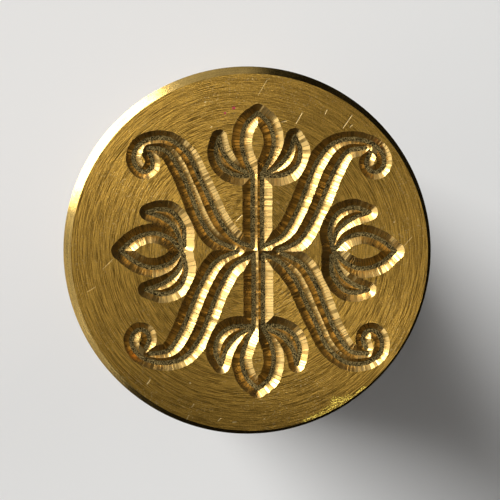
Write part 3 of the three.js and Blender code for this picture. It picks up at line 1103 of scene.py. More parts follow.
# Tool paths of the engraving, as shares of the head's radius from the ornament's centre: x, y and depth.
# They make half of the ornament, and half a turn makes the other half.
TOOL_PATH_SHARES: tuple[tuple[tuple[float, float, float], ...], ...] = (
    # upright stem
    ((-0.028, 0.418, 1), (-0.028, 0.021, 1)),
    ((0.023, 0.418, 1), (0.023, 0.021, 1)),
    # left scroll: outer and inner line
    ((-0.028, 0.021, 1), (-0.119, 0.059, 1), (-0.2, 0.154, 1), (-0.26, 0.277, 1), (-0.317, 0.396, 0.98),
     (-0.385, 0.532, 0.8), (-0.494, 0.611, 0.68), (-0.603, 0.604, 0.67), (-0.66, 0.562, 0.67),
     (-0.677, 0.511, 0.67), (-0.66, 0.456, 0.67), (-0.619, 0.43, 0.67), (-0.581, 0.451, 0.67),
     (-0.573, 0.492, 0.67), (-0.59, 0.527, 0.6)),
    ((-0.135, 0.015, 1), (-0.244, 0.072, 1), (-0.317, 0.184, 1), (-0.369, 0.315, 1),
     (-0.426, 0.44, 0.92), (-0.505, 0.546, 0.75), (-0.595, 0.56, 0.6)),
    # right scroll: outer and inner line
    ((0.023, 0.021, 1), (0.132, 0.081, 1), (0.208, 0.206, 1), (0.265, 0.347, 1), (0.325, 0.489, 0.98),
     (0.409, 0.584, 0.78), (0.518, 0.61, 0.67), (0.622, 0.584, 0.67), (0.673, 0.538, 0.67),
     (0.689, 0.489, 0.67), (0.673, 0.445, 0.67), (0.638, 0.429, 0.67), (0.603, 0.444, 0.67),
     (0.591, 0.483, 0.67), (0.611, 0.532, 0.6)),
    ((0.11, 0.002, 1), (0.222, 0.053, 1), (0.303, 0.173, 1), (0.363, 0.309, 1),
     (0.415, 0.434, 0.98), (0.488, 0.541, 0.8), (0.584, 0.56, 0.6)),
    # bud at the top of the stem
    ((0.001, 0.752, 0.85), (-0.062, 0.693, 1), (-0.087, 0.598, 1), (-0.071, 0.505, 1), (-0.028, 0.418, 1)),
    ((0.001, 0.752, 0.85), (0.059, 0.693, 1), (0.087, 0.598, 1), (0.066, 0.505, 1), (0.023, 0.418, 1)),
    # its left leaf
    ((-0.211, 0.617, 0.75), (-0.228, 0.538, 0.82), (-0.192, 0.453, 0.88), (-0.113, 0.411, 0.92),
     (-0.028, 0.41, 1)),
    ((-0.211, 0.617, 0.75), (-0.192, 0.541, 0.8), (-0.135, 0.468, 0.88), (-0.048, 0.421, 0.95)),
    # its right leaf
    ((0.2, 0.622, 0.8), (0.231, 0.551, 0.95), (0.213, 0.467, 1), (0.143, 0.415, 1), (0.039, 0.41, 1)),
    ((0.2, 0.622, 0.8), (0.17, 0.532, 0.95), (0.107, 0.459, 1), (0.034, 0.418, 1)),
    # bud at the right side
    ((0.747, -0.001, 0.9), (0.671, 0.059, 0.9), (0.578, 0.091, 0.93), (0.483, 0.07, 1), (0.412, 0.002, 1)),
    ((0.747, -0.001, 0.9), (0.662, -0.072, 0.94), (0.562, -0.096, 0.95), (0.475, -0.064, 1),
     (0.412, 0.002, 1)),
    # its upper leaf
    ((0.608, 0.211, 0.75), (0.518, 0.236, 0.8), (0.431, 0.2, 0.9), (0.392, 0.113, 1), (0.409, 0.015, 1)),
    ((0.608, 0.211, 0.75), (0.516, 0.177, 0.84), (0.434, 0.109, 0.92), (0.403, 0.026, 1)),
    # its lower leaf
    ((0.401, -0.028, 1), (0.407, -0.132, 1), (0.475, -0.216, 0.92), (0.54, -0.227, 0.84),
     (0.6, -0.211, 0.75)),
    ((0.415, -0.034, 1), (0.458, -0.132, 0.96), (0.524, -0.183, 0.88), (0.6, -0.211, 0.75)),
)


@dataclass(frozen=True)
class Cutter:
    """An engraving cutter: a cone with a flat tip that leaves a facet at each turn."""

    depth: float = 0.46
    tip_radius: float = 0.156
    flank_run_share: float = 1.18
    overrun: float = 0.05
    facet_lengths: Pair = (0.11, 0.2)
    facet_step: float = 0.042
    facet_ridge: float = 0.014
    ridge_chance: float = 0.75
    facet_lean: float = 0.014
    facet_shift: float = 0.004
    facet_tilt: float = 0.018
    # How often a whole facet gets the ridge finish, which is painted darker as shade.
    shaded_dull_chance: float = 0.19
    end_steps: int = 6

    def ring(
        self, tip: Vector, face: float, angles: Pair, gains: Pair, tilts: Pair = (0.0, 0.0),
    ) -> list[Vector]:
        """Gives the cutter's section across its path: two corners at its tip and two above the face.

        Args:
            tip: The middle of its tip.
            face: The height of the face.
            angles: The directions of its left and right side.
            gains: How much further out its left and right side cut here.
            tilts: How much further out they cut at the top only.

        Returns:
            The four corners.
        """
        top = face + self.overrun
        top_radius = self.tip_radius + (top - tip.z) * self.flank_run_share
        corners = []
        for side, radius, height, tilted in (
                (0, self.tip_radius, tip.z, 0), (1, self.tip_radius, tip.z, 0),
                (1, top_radius, top, 1), (0, top_radius, top, 1)):
            reach = radius + gains[side] + tilts[side] * tilted
            corners.append(Vector((
                tip.x + reach * math.cos(angles[side]), tip.y + reach * math.sin(angles[side]), height)))
        return corners


class ToolPath:
    """A smooth path through points, the same curve as the CAD's."""

    samples_per_span: int = 24

    def __init__(self, points: Sequence[Vector]) -> None:
        """Samples the path and measures it.

        Args:
            points: The points that it goes through.
        """
        self.samples: list[Vector] = []
        for index in range(len(points) - 1):
            start, end = points[index], points[index + 1]
            before = points[index - 1] if index else start * 2 - end
            after = points[index + 2] if index + 2 < len(points) else end * 2 - start
            self.samples += self.span(before, start, end, after)
        self.samples.append(points[-1])
        self.distances = [0.0]
        for start, end in zip(self.samples, self.samples[1:]):
            self.distances.append(self.distances[-1] + (end - start).length)
        self.length = self.distances[-1]

    def span(self, before: Vector, start: Vector, end: Vector, after: Vector) -> list[Vector]:
        """Samples the centripetal curve between two points.

        Args:
            before: The point before them.
            start: The first point.
            end: The second point.
            after: The point after them.

        Returns:
            Samples from the first point up to the second, which is left out.
        """
        first, middle, last = (math.sqrt((b - a).length)
                               for a, b in ((before, start), (start, end), (end, after)))
        leave = ((start - before) / first - (end - before) / (first + middle)
                 + (end - start) / middle) * middle
        arrive = ((end - start) / middle - (after - start) / (middle + last)
                  + (after - end) / last) * middle
        square = (end - start) * 3 - leave * 2 - arrive
        cube = (start - end) * 2 + leave + arrive
        shares = [step / self.samples_per_span for step in range(self.samples_per_span)]
        return [start + leave * t + square * t ** 2 + cube * t ** 3 for t in shares]

    def at(self, distance: float) -> tuple[Vector, float]:
        """Finds a point of the path.

        Args:
            distance: How far along the path it lies.

        Returns:
            The point and the path's heading there.
        """
        last = len(self.samples) - 2
        index = next((i for i in range(last + 1) if self.distances[i + 1] >= distance), last)
        start, end = self.samples[index], self.samples[index + 1]
        share = (distance - self.distances[index]) / (self.distances[index + 1] - self.distances[index])
        before, after = self.samples[max(index - 1, 0)], self.samples[min(index + 2, last + 1)]
        along = after - before
        return start.lerp(end, min(max(share, 0.0), 1.0)), math.atan2(along.y, along.x)


class FaceZone(Enum):
    """The finishes of the head, in the order of its material slots."""

    BRUSHED = 0
    WALL = 1
    FLOOR = 2
    TURNED = 3
    BEVEL = 4
    RIDGE = 5


@dataclass
class SealHead:
    """The engraved brass head: disc, eccentric bevel, neck, boss and tapped bore.

    A face whose normal rises above level_normal is level, and one of the rim that rises above
    bevel_normal belongs to the bevel.
    """

    disc_thickness: float = 6.5
    bevel_width: float = 0.36
    bevel_height: float = 0.21
    bevel_offset: Point = (0.165, -0.145)
    under_round: float = 0.6
    neck_height: float = 4.0
    boss_radius: float = 6.6
    boss_chamfer: float = 0.4
    ornament_offset_shares: Point = (0.059, -0.005)
    thread_radii: Pair = (3.17, 3.72)
    thread_pitch: float = 1.0
    bore_depth: float = 7.8
    bore_chamfer: float = 0.5
    mouth_chamfer: float = 0.35
    overrun: float = 1.0
    sides: int = 192
    cove_steps: int = 14
    level_normal: float = 0.985
    bevel_normal: float = 0.5
    cutter: Cutter = field(default_factory=Cutter)
    seed: int = 11

    def __post_init__(self) -> None:
        """Takes the head's place and radius from the frame."""
        self.bottom = low_mm("seal_head").z
        self.face = high_mm("seal_head").z
        self.radius = high_mm("seal_head").x
        self.disc_bottom = self.face - self.disc_thickness
        self.luck = random.Random(self.seed)

    def blank(self, lathe: Lathe) -> bpy.types.Object:
        """Turns the head before it is engraved.

        Args:
            lathe: The lathe.

        Returns:
            The blank.
        """
        cove = (self.boss_radius + self.neck_height, self.disc_bottom - self.neck_height)
        under = (self.radius - self.under_round, self.disc_bottom + self.under_round)
        blank = lathe.turn("seal_head_engraved", [
            (0, self.bottom),
            (self.boss_radius - self.boss_chamfer, self.bottom),
            (self.boss_radius, self.bottom + self.boss_chamfer),
            *arc(cove, self.neck_height, math.pi, QUARTER_TURN, self.cove_steps),
            *arc(under, self.under_round, -QUARTER_TURN, 0),
            (self.radius, self.face),
            (0, self.face),
        ], self.sides)
        outer = self.radius + self.bevel_width
        bevelled = lathe.turn("bevel_envelope", [
            (0, self.bottom - self.overrun),
            (outer, self.bottom - self.overrun),
            (outer, self.face - self.bevel_height * 2),
            (self.radius - self.bevel_width, self.face),
            (0, self.face),
        ], self.sides)
        bevelled.data.transform(Matrix.Translation((*self.bevel_offset, 0)))
        combine(blank, bevelled, Cut.KEEP_COMMON)
        return blank

    def bore(self, head: bpy.types.Object, lathe: Lathe) -> None:
        """Cuts the tapped bore and its countersunk mouth.

        Args:
            head: The head.
            lathe: The lathe.
        """
        tap = lathe.threaded_rod(
            "tap", (self.bottom - self.thread_pitch, self.bottom + self.bore_depth), self.thread_radii,
            self.thread_pitch, (0, self.bore_chamfer))
        combine(head, tap, Cut.TAKE_AWAY)
        mouth = self.thread_radii[1] + self.mouth_chamfer
        sink = lathe.turn("bore_mouth", [
            (0, self.bottom - self.overrun),
            (mouth, self.bottom - self.overrun),
            (mouth, self.bottom),
            (mouth / 2, self.bottom + mouth / 2),
            (0, self.bottom + mouth / 2),
        ], lathe.thread_steps)
        combine(head, sink, Cut.TAKE_AWAY)

    def sections(self, path: ToolPath, cutter: Cutter) -> tuple[list[list[Vector]], set[int]]:
        """Lays the cutter's sections along a path: round each end, and a facet for each of its turns.

        Args:
            path: The path of its tip.
            cutter: The cutter.

        Returns:
            The sections, and the numbers of those that start a ridge or a dull facet, which are painted
            darker as shade.
        """
        rings: list[list[Vector]] = []
        ridges: set[int] = set()

        def lay(distance: float, turned_back: float, gains: Pair, tilts: Pair = (0.0, 0.0)) -> None:
            """Lays one section across the path.

            Args:
                distance: How far along the path it lies.
                turned_back: How far its sides are turned back from square to the path.
                gains: How much further out its left and right side cut.
                tilts: How much further out they cut at the top only.
            """
            tip, heading = path.at(distance)
            square = QUARTER_TURN + turned_back
            rings.append(cutter.ring(tip, self.face, (heading + square, heading - square), gains, tilts))

        def spread(limit: float) -> Pair:
            """Draws a number for each side, no further from nought than a limit."""
            return self.luck.uniform(-limit, limit), self.luck.uniform(-limit, limit)

        for step in range(cutter.end_steps, 0, -1):
            lay(0.0, QUARTER_TURN * step / cutter.end_steps, spread(cutter.facet_shift))
        distance = 0.0
        while distance < path.length:
            end = min(distance + self.luck.uniform(*cutter.facet_lengths), path.length)
            shift, lean = spread(cutter.facet_shift), spread(cutter.facet_lean)
            tilts = spread(cutter.facet_tilt)
            lay(distance, 0.0, (shift[0] - lean[0], shift[1] - lean[1]), tilts)
            if self.luck.random() < cutter.shaded_dull_chance:
                ridges.add(len(rings) - 1)
            lay(end, 0.0, (shift[0] + lean[0], shift[1] + lean[1]), tilts)
            if end + cutter.facet_step < path.length and self.luck.random() < cutter.ridge_chance:
                ridges.update((len(rings) - 1, len(rings)))
                lay(end + cutter.facet_step / 2, 0.0, (-cutter.facet_ridge, -cutter.facet_ridge))
            distance = end + cutter.facet_step
        for step in range(1, cutter.end_steps + 1):
            lay(path.length, -QUARTER_TURN * step / cutter.end_steps, spread(cutter.facet_shift))
        return rings, ridges

    def swept(
        self, name: str, path: ToolPath, cutter: Cutter, finishes: dict[FaceZone, bpy.types.Material],
    ) -> bpy.types.Object:
        """Makes the space that a cutter clears along a path.

        Its skin is laid from section to section, because no modelling step gives these uneven facets.

        Args:
            name: The cutter's name.
            path: The path of its tip.
            cutter: The cutter.
            finishes: A material for each zone.

        Returns:
            The closed space.
        """
        rings, ridges = self.sections(path, cutter)
        mesh = bpy.data.meshes.new(name)
        corners = len(rings[0])
        faces: list[tuple[int, ...]] = [tuple(range(corners))]
        zones = [0]
        for ring in range(len(rings) - 1):
            zones += [int(ring in ridges)] * corners
            for corner in range(corners):
                near, next_near = ring * corners + corner, ring * corners + (corner + 1) % corners
                faces.append((near, near + corners, next_near + corners, next_near))
        faces.append(tuple(reversed(range((len(rings) - 1) * corners, len(rings) * corners))))
        mesh.from_pydata([corner for ring in rings for corner in ring], [], faces)
        mesh.materials.append(finishes[FaceZone.WALL])
        mesh.materials.append(finishes[FaceZone.RIDGE])
        mesh.polygons.foreach_set("material_index", zones + [0])
        piece = bpy.data.objects.new(name, mesh)
        bpy.context.scene.collection.objects.link(piece)
        with editing(piece):
            bpy.ops.mesh.normals_make_consistent(inside=False)
        return piece

    def engrave(self, head: bpy.types.Object, finishes: dict[FaceZone, bpy.types.Material]) -> None:
        """Cuts the ornament, each path and its copy half a turn on.

        Args:
            head: The head.
            finishes: A material for each zone.
        """
        centre = Vector((*self.ornament_offset_shares, 0)) * self.radius
        for number, shares in enumerate(TOOL_PATH_SHARES):
            for sign in (1, -1):
                points = [
                    centre + Vector((sign * x * self.radius, sign * y * self.radius,
                                     self.face - depth * self.cutter.depth))
                    for x, y, depth in shares
                ]
                tool = self.swept(f"groove_{number}_{sign}", ToolPath(points), self.cutter, finishes)
                combine(head, tool, Cut.TAKE_AWAY)

    def paint(self, head: bpy.types.Object, finishes: dict[FaceZone, bpy.types.Material]) -> None:
        """Gives each face of the head the finish of its zone.

        Args:
            head: The head, in millimetres.
            finishes: A material for each zone.
        """
        slots = list(head.data.materials)
        ridges = [slots[face.material_index] == finishes[FaceZone.RIDGE] if slots else False
                  for face in head.data.polygons]
        head.data.materials.clear()
        for zone in FaceZone:
            head.data.materials.append(finishes[zone])
        engraved_from = self.face - self.cutter.depth - self.cutter.overrun
        bevelled_from = self.face - self.bevel_height * 2
        inner = self.radius - self.bevel_width * 2
        for face in head.data.polygons:
            middle = face.center
            outward = math.hypot(middle.x, middle.y)
            zone = FaceZone.TURNED
            if middle.z > self.face - WELD_DISTANCE and face.normal.z > self.level_normal:
                zone = FaceZone.BRUSHED
            elif middle.z > bevelled_from and outward > inner:
                zone = FaceZone.BEVEL if face.normal.z > self.bevel_normal else FaceZone.TURNED
            elif middle.z > engraved_from and outward < inner:
                zone = FaceZone.RIDGE if ridges[face.index] else FaceZone.WALL
                if face.normal.z > self.level_normal:
                    zone = FaceZone.FLOOR
            face.material_index = zone.value

    def build(self, lathe: Lathe, effects: Effects) -> list[bpy.types.Object]:
        """Makes the head.

        Args:
            lathe: The lathe.
            effects: The shared effects.

        Returns:
            The head alone.
        """
        head = self.blank(lathe)
        finishes = {
            FaceZone.BRUSHED: BrushedFace().material(effects, self.radius),
            FaceZone.WALL: CUT_WALL.material(effects),
            FaceZone.FLOOR: CUT_FLOOR.material(effects),
            FaceZone.TURNED: TURNED_BRASS.material(effects),
            FaceZone.BEVEL: BEVEL_BRASS.material(effects),
            FaceZone.RIDGE: CUT_RIDGE.material(effects),
        }
        self.engrave(head, finishes)
        self.bore(head, lathe)
        self.paint(head, finishes)
        finish_piece(head, Body.HEAD, ["seal_head"])
        for face in head.data.polygons:
            if face.material_index not in (FaceZone.TURNED.value, FaceZone.BEVEL.value):
                face.use_smooth = False
        return [head]


@dataclass(frozen=True)
class HeadWasher:
    """The leather washer that the head's boss seats on."""

    hole_radius: float = 3.9
    edge_round: float = 0.35
    smooth_angle: float = 50.0

    def build(self, lathe: Lathe, effects: Effects) -> list[bpy.types.Object]:
        """Makes the washer.

        Args:
            lathe: The lathe.
            effects: The shared effects.

        Returns:
            The washer alone.
        """
        low, high = low_mm("head_washer"), high_mm("head_washer")
        edge = high.x - self.edge_round
        washer = lathe.turn("head_washer_leather", [
            (self.hole_radius, low.z),
            *arc((edge, low.z + self.edge_round), self.edge_round, -QUARTER_TURN, 0),
            *arc((edge, high.z - self.edge_round), self.edge_round, 0, QUARTER_TURN),
            (self.hole_radius, high.z),
            (self.hole_radius, low.z),
        ])
        washer.data.materials.append(LeatherFinish().material(effects))
        return [finish_piece(
            washer, Body.WASHER, ["head_washer"], self.smooth_angle)]


@dataclass(frozen=True)
class MountingStud:
    """The threaded steel stud that joins head and handle."""

    thread_radii: Pair = (2.95, 3.5)
    thread_pitch: float = 1.0
    end_chamfer: float = 0.5

    def build(self, lathe: Lathe, effects: Effects) -> list[bpy.types.Object]:
        """Makes the stud.

        Args:
            lathe: The lathe.
            effects: The shared effects.

        Returns:
            The stud alone.
        """
        heights = (low_mm("mounting_stud").z, high_mm("mounting_stud").z)
        stud = lathe.threaded_rod(
            "mounting_stud_cut", heights, self.thread_radii, self.thread_pitch,
            (self.end_chamfer, self.end_chamfer))
        stud.data.materials.clear()
        stud.data.materials.append(STUD_STEEL.material(effects))
        return [finish_piece(stud, Body.HANDLE, ["mounting_stud"])]


@dataclass(frozen=True)
class ThreadInsert:
    """The barbed brass insert in the wood. Its CAD shape stays, because nothing of it shows."""

    node: str = "thread_insert"

    def build(self, effects: Effects) -> list[bpy.types.Object]:
        """Gives the insert its finish.

        Args:
            effects: The shared effects.

        Returns:
            The insert alone.
        """
        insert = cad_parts[self.node]
        insert.data.materials.clear()
        insert.data.materials.append(FIXING_BRASS.material(effects))
        return [insert]


@dataclass
class PinnedFerrule:
    """The brass collar at the handle's end, with its bead and the two pins that hold it."""

    wall: float = 0.9
    top_thickness: float = 1.2
    bead_radius: float = 0.6
    edge_round: float = 0.5
    stud_hole_radius: float = 3.9
    pin_fit: float = 0.02
    pin_dome: float = 0.18
    pin_dome_steps: int = 4
    pin_sides: int = 32
    bead_steps: int = 16
    edge_steps: int = 8
    overrun: float = 1.0
    pin_nodes: tuple[str, ...] = ("ferrule_pin_1", "ferrule_pin_2")

    def __post_init__(self) -> None:
        """Takes the ferrule's heights and radius from the frame."""
        self.bottom = low_mm("ferrule").z
        self.top = high_mm("ferrule").z
        self.radius = high_mm("ferrule").x - self.bead_radius

    def rod(self, node: str, wider: float = 0.0, longer: float = 0.0) -> bpy.types.Object:
        """Adds a plain rod at a pin's place, along the X axis.

        Args:
            node: The pin's CAD node.
            wider: How much more its radius is than the pin's.
            longer: How much longer it is than the pin.

        Returns:
            The rod.
        """
        low, high = low_mm(node), high_mm(node)
        bpy.ops.object.select_all(action="DESELECT")
        bpy.ops.mesh.primitive_cylinder_add(
            vertices=self.pin_sides, radius=(high.z - low.z) / 2 + wider,
            depth=high.x - low.x + longer, location=(low + high) / 2, rotation=(0, QUARTER_TURN, 0))
        return bpy.context.object

    def pin(self, node: str) -> bpy.types.Object:
        """Makes a pin with a domed outer end.

        Args:
            node: The pin's CAD node.

        Returns:
            The pin.
        """
        pin = self.rod(node)
        pin.name = f"{node}_domed"
        pin.data.name = pin.name
        bpy.ops.object.transform_apply(location=True, rotation=True, scale=True)
        low, high = low_mm(node), high_mm(node)
        outer = high.x if low.x + high.x > 0 else low.x
        for edge in pin.data.edges:
            ends = [pin.data.vertices[index].co.x for index in edge.vertices]
            edge.select = all(abs(end - outer) < WELD_DISTANCE for end in ends)
        for part in (pin.data.vertices, pin.data.polygons):
            for item in part:
                item.select = False
        bpy.ops.object.mode_set(mode="EDIT")
        bpy.ops.mesh.select_mode(type="EDGE")
        bpy.ops.mesh.bevel(offset=self.pin_dome, segments=self.pin_dome_steps, affect="EDGES")
        bpy.ops.mesh.select_mode(type="VERT")
        bpy.ops.object.mode_set(mode="OBJECT")
        return pin

    def collar(self, lathe: Lathe) -> bpy.types.Object:
        """Turns the ferrule and drills its pin holes.

        Args:
            lathe: The lathe.

        Returns:
            The ferrule.
        """
        bore = self.radius - self.wall
        ledge = self.top - self.top_thickness
        edge = (self.radius - self.edge_round, self.top - self.edge_round)
        collar = lathe.turn("ferrule_turned", [
            (self.stud_hole_radius, self.top),
            (self.stud_hole_radius, ledge),
            (bore, ledge),
            (bore, self.bottom),
            *arc((self.radius, self.bottom + self.bead_radius), self.bead_radius,
                 -QUARTER_TURN, QUARTER_TURN, self.bead_steps),
            *arc(edge, self.edge_round, 0, QUARTER_TURN, self.edge_steps),
            (self.stud_hole_radius, self.top),
        ])
        for node in self.pin_nodes:
            combine(collar, self.rod(node, self.pin_fit, self.overrun), Cut.TAKE_AWAY)
        return collar

    def build(self, lathe: Lathe, effects: Effects) -> list[bpy.types.Object]:
        """Makes the ferrule and its pins.

        Args:
            lathe: The lathe.
            effects: The shared effects.

        Returns:
            The ferrule and the pins.
        """
        collar = self.collar(lathe)
        collar.data.materials.clear()
        collar.data.materials.append(TURNED_BRASS.material(effects))
        made = [finish_piece(collar, Body.HANDLE, ["ferrule"])]
        pin_brass = FIXING_BRASS.material(effects)
        for node in self.pin_nodes:
            pin = self.pin(node)
            pin.data.materials.append(pin_brass)
            made.append(finish_piece(pin, Body.HANDLE, [node]))
        return made


@dataclass
class TurnedHandle:
    """The hardwood handle: flared foot, waist, grip and the spigot inside the ferrule."""

    spigot_radius: float = 6.15
    insert_bore_radius: float = 5.05
    pilot_radius: float = 1.8
    pilot_top: float = 13.6
    pilot_tip: float = 2.4
    edge_round: float = 0.5
    waist_radius: float = 7.1
    grip_radius: float = 8.5
    collar_radius: float = 6.7
    waist_height_share: float = 0.41
    grip_height_share: float = 0.75
    flare_share: float = 0.45
    curve_points: int = 14
    smooth_angle: float = 40.0

    def __post_init__(self) -> None:
        """Takes the handle's heights and radius from the frame."""
        self.bottom = low_mm("handle").z
        self.top = high_mm("handle").z
        self.radius = high_mm("handle").x
        self.shoulder = low_mm("ferrule").z
        self.insert_bottom = low_mm("thread_insert").z

    def outline(self) -> list[Point]:
        """Draws the bare wood's outline, parallel to the axis at its foot, waist, grip and shoulder.

        Returns:
            The outline from foot to shoulder.
        """
        bare = self.shoulder - self.bottom
        stations = [
            (self.radius, self.bottom + self.edge_round),
            (self.waist_radius, self.bottom + bare * self.waist_height_share),
            (self.grip_radius, self.bottom + bare * self.grip_height_share),
            (self.collar_radius, self.shoulder),
        ]
        points: list[Point] = []
        for (radius, height), (next_radius, next_height) in zip(stations, stations[1:]):
            pull = (next_height - height) * self.flare_share
            for step in range(self.curve_points):
                t = step / self.curve_points
                u = 1 - t
                start, leave, arrive, end = u ** 3, 3 * u * u * t, 3 * u * t * t, t ** 3
                points.append((
                    radius * (start + leave) + next_radius * (arrive + end),
                    height * start + (height + pull) * leave + (next_height - pull) * arrive
                    + next_height * end,
                ))
        return points + [stations[-1]]

    def build(self, lathe: Lathe, effects: Effects) -> list[bpy.types.Object]:
        """Makes the handle.

        Args:
            lathe: The lathe.
            effects: The shared effects.

        Returns:
            The handle alone.
        """
        foot = (self.radius - self.edge_round, self.bottom + self.edge_round)
        handle = lathe.turn("handle_turned", [
            (0, self.pilot_top),
            (self.pilot_radius, self.pilot_top - self.pilot_tip),
            (self.pilot_radius, self.bottom),
            *arc(foot, self.edge_round, -QUARTER_TURN, 0),
            *self.outline()[1:],
            (self.spigot_radius, self.shoulder),
            (self.spigot_radius, self.top),
            (self.insert_bore_radius, self.top),
            (self.insert_bore_radius, self.insert_bottom),
            (0, self.insert_bottom),
        ])
        handle.data.materials.append(WoodFinish().material(effects))
        return [finish_piece(handle, Body.HANDLE, ["handle"], self.smooth_angle)]


@dataclass(frozen=True)
class ButtFitting:
    """The brass cap that the seal stands on, and the countersunk screw that holds it."""

    foot_round: float = 0.9
    top_round: float = 0.4
    hole_radius: float = 1.8
    sink_radius: float = 3.4
    screw_head_radius: float = 3.2
    screw_radii: Pair = (1.15, 1.6)
    screw_pitch: float = 1.4
    screw_tip: float = 2.4
    slot_width: float = 0.8
    slot_depth: float = 1.0
    slot_length_share: float = 3.0
    foot_steps: int = 10
    overrun: float = 1.0

    def cap(self, lathe: Lathe) -> bpy.types.Object:
        """Turns the cap.

        Args:
            lathe: The lathe.

        Returns:
            The cap.
        """
        low, high = low_mm("butt_cap"), high_mm("butt_cap")
        recess = low_mm("butt_screw").z
        cone_top = recess + self.screw_head_radius - self.screw_radii[1]
        return lathe.turn("butt_cap_turned", [
            (self.sink_radius, low.z),
            *arc((high.x - self.foot_round, low.z + self.foot_round), self.foot_round,
                 -QUARTER_TURN, 0, self.foot_steps),
            *arc((high.x - self.top_round, high.z - self.top_round), self.top_round, 0, QUARTER_TURN),
            (self.hole_radius, high.z),
            (self.hole_radius, cone_top),
            (self.sink_radius, recess),
            (self.sink_radius, low.z),
        ])

    def screw(self, lathe: Lathe) -> bpy.types.Object:
        """Makes the slotted wood screw.

        Args:
            lathe: The lathe.

        Returns:
            The screw.
        """
        bottom, tip = low_mm("butt_screw").z, high_mm("butt_screw").z
        root, crest = self.screw_radii
        shank_top = high_mm("butt_cap").z + self.screw_pitch
        blank = lathe.turn("butt_screw_cut", [
            (0, bottom),
            (self.screw_head_radius, bottom),
            (crest, bottom + self.screw_head_radius - crest),
            (crest, tip - self.screw_tip),
            (0, tip),
        ], lathe.thread_steps)
        body = lathe.thread("butt_screw_thread", (shank_top, tip), (root, crest), self.screw_pitch)
        shank = lathe.turn("butt_screw_shank", [
            (0, bottom - self.overrun),
            (self.screw_head_radius + self.overrun, bottom - self.overrun),
            (self.screw_head_radius + self.overrun, shank_top),
            (0, shank_top),
        ], lathe.thread_steps)
        combine(body, shank, Cut.JOIN)
        combine(blank, body, Cut.KEEP_COMMON)
        bpy.ops.object.select_all(action="DESELECT")
        bpy.ops.mesh.primitive_cube_add(size=1, location=(0, 0, bottom), scale=(
            self.screw_head_radius * self.slot_length_share, self.slot_width, self.slot_depth * 2))
        combine(blank, bpy.context.object, Cut.TAKE_AWAY)
        return blank

    def build(self, lathe: Lathe, effects: Effects) -> list[bpy.types.Object]:
        """Makes the cap and the screw.

        Args:
            lathe: The lathe.
            effects: The shared effects.

        Returns:
            The cap and the screw.
        """
        cap = self.cap(lathe)
        cap.data.materials.append(TURNED_BRASS.material(effects))
        screw = self.screw(lathe)
        screw.data.materials.clear()
        screw.data.materials.append(FIXING_BRASS.material(effects))
        return [
            finish_piece(cap, Body.HANDLE, ["butt_cap"]),
            finish_piece(screw, Body.HANDLE, ["butt_screw"]),
        ]


@dataclass(frozen=True)
class Lamp:
    """A soft lamp: where it hangs about the face, in degrees and metres, its size and its watts."""

    name: str
    turn: float
    rise: float
    size: Pair
    power: float
    distance: float = 5.0

    def hang(self, aim: Vector) -> None:
        """Hangs the lamp, out of the camera's sight.

        Args:
            aim: What it lights.
        """
        light = bpy.data.lights.new(self.name, "AREA")
        light.shape = "RECTANGLE"
        light.size, light.size_y = self.size
        light.energy = self.power
        lamp = bpy.data.objects.new(self.name, light)
        bpy.context.scene.collection.objects.link(lamp)
        turn, rise = math.radians(self.turn), math.radians(self.rise)
        away = Vector((math.cos(turn) * math.cos(rise), math.sin(turn) * math.cos(rise), math.sin(rise)))
        lamp.location = aim + away * self.distance
        lamp.rotation_mode = "QUATERNION"
        lamp.rotation_quaternion = (-away).to_track_quat("-Z", "Y")
        lamp.visible_camera = False


# A low, strong lamp at the upper left makes the white walls. Weaker ones beside it, and higher up, light
# the walls beside those and the flat face.
LAMPS: tuple[Lamp, ...] = (
    Lamp("key_lamp", turn=142.0, rise=22.0, size=(3.40, 1.80), power=355.6),
    Lamp("left_lamp", turn=197.0, rise=18.0, size=(5.40, 1.60), power=55.6),
    Lamp("back_lamp", turn=106.0, rise=22.0, size=(3.00, 1.80), power=12.5),
    Lamp("fill_lamp", turn=138.0, rise=40.0, size=(2.50, 1.20), power=77.8),
    Lamp("high_lamp", turn=140.0, rise=60.0, size=(1.80, 1.80), power=27.8),
    Lamp("top_lamp", turn=35.0, rise=66.0, size=(1.80, 1.80), power=18.1),
)


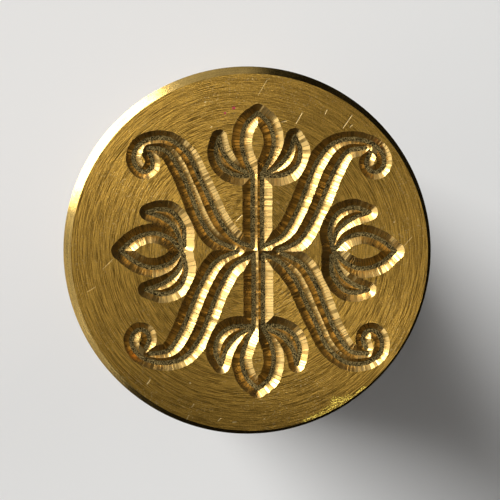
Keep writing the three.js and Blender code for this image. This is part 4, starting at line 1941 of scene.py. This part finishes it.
@dataclass(frozen=True)
class Studio:
    """A pale floor, the soft lamps, a dim surround and the camera of the photograph, in metres."""

    floor_size: float = 12.0
    floor_colour: Colour = (0.78, 0.78, 0.77, 1.0)
    floor_roughness: float = 0.9
    floor_shine: float = 0.2
    world_colour: Colour = (0.012, 0.012, 0.012, 1.0)
    camera_distance: float = 0.30
    camera_sight: Pair = (0.01, 20.0)
    picture_width: float = 0.0340
    sensor_width: float = 36.0
    aim_shift: Point = (0.000204, 0.0)

    def floor(self) -> None:
        """Lays the floor."""
        bpy.ops.object.select_all(action="DESELECT")
        bpy.ops.mesh.primitive_plane_add(size=self.floor_size, location=(0, 0, 0))
        floor = bpy.context.object
        floor.name = "studio_floor"
        material, tree = new_material("studio_floor")
        tree.surface({
            "Base Color": self.floor_colour, "Roughness": self.floor_roughness,
            "Specular IOR Level": self.floor_shine,
        })
        floor.data.materials.append(material)

    def world(self) -> None:
        """Sets a dim, even surround."""
        world = bpy.data.worlds.new("studio")
        world.use_nodes = True
        tree = ShaderTree(world.node_tree)
        shade = tree.add("ShaderNodeBackground", {"Color": self.world_colour, "Strength": 1.0})
        tree.add("ShaderNodeOutputWorld", {"Surface": shade.outputs[0]})
        bpy.context.scene.world = world

    def camera(self, face_height: float) -> None:
        """Sets the camera straight above the face, as the photograph's was.

        Args:
            face_height: The height of the face in metres.
        """
        lens = bpy.data.cameras.new("camera")
        lens.sensor_width = self.sensor_width
        lens.lens = self.sensor_width * self.camera_distance / self.picture_width
        lens.clip_start, lens.clip_end = self.camera_sight
        camera = bpy.data.objects.new("camera", lens)
        bpy.context.scene.collection.objects.link(camera)
        camera.location = (*self.aim_shift, face_height + self.camera_distance)
        bpy.context.scene.camera = camera

    def build(self, face_height: float) -> None:
        """Sets up the studio.

        Args:
            face_height: The height of the face in metres.
        """
        self.floor()
        self.world()
        for lamp in LAMPS:
            lamp.hang(Vector((0, 0, face_height)))
        self.camera(face_height)
        bpy.context.scene.view_settings.view_transform = "Standard"


def main() -> None:
    """Builds the seal and its studio, and reports each piece."""
    logging.basicConfig(level=logging.INFO, format="%(name)s: %(message)s")
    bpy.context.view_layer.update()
    effects = Effects()
    lathe = Lathe()
    pieces: list[bpy.types.Object] = []
    for assembly in (
            SealHead(), HeadWasher(), MountingStud(), PinnedFerrule(), TurnedHandle(), ButtFitting()):
        pieces += assembly.build(lathe, effects)
    pieces += ThreadInsert().build(effects)
    for piece in pieces:
        log.info("%s: %d faces", piece.name, len(piece.data.polygons))
    Studio().build(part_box("seal_head")[1].z)


if __name__ == "__main__":
    main()
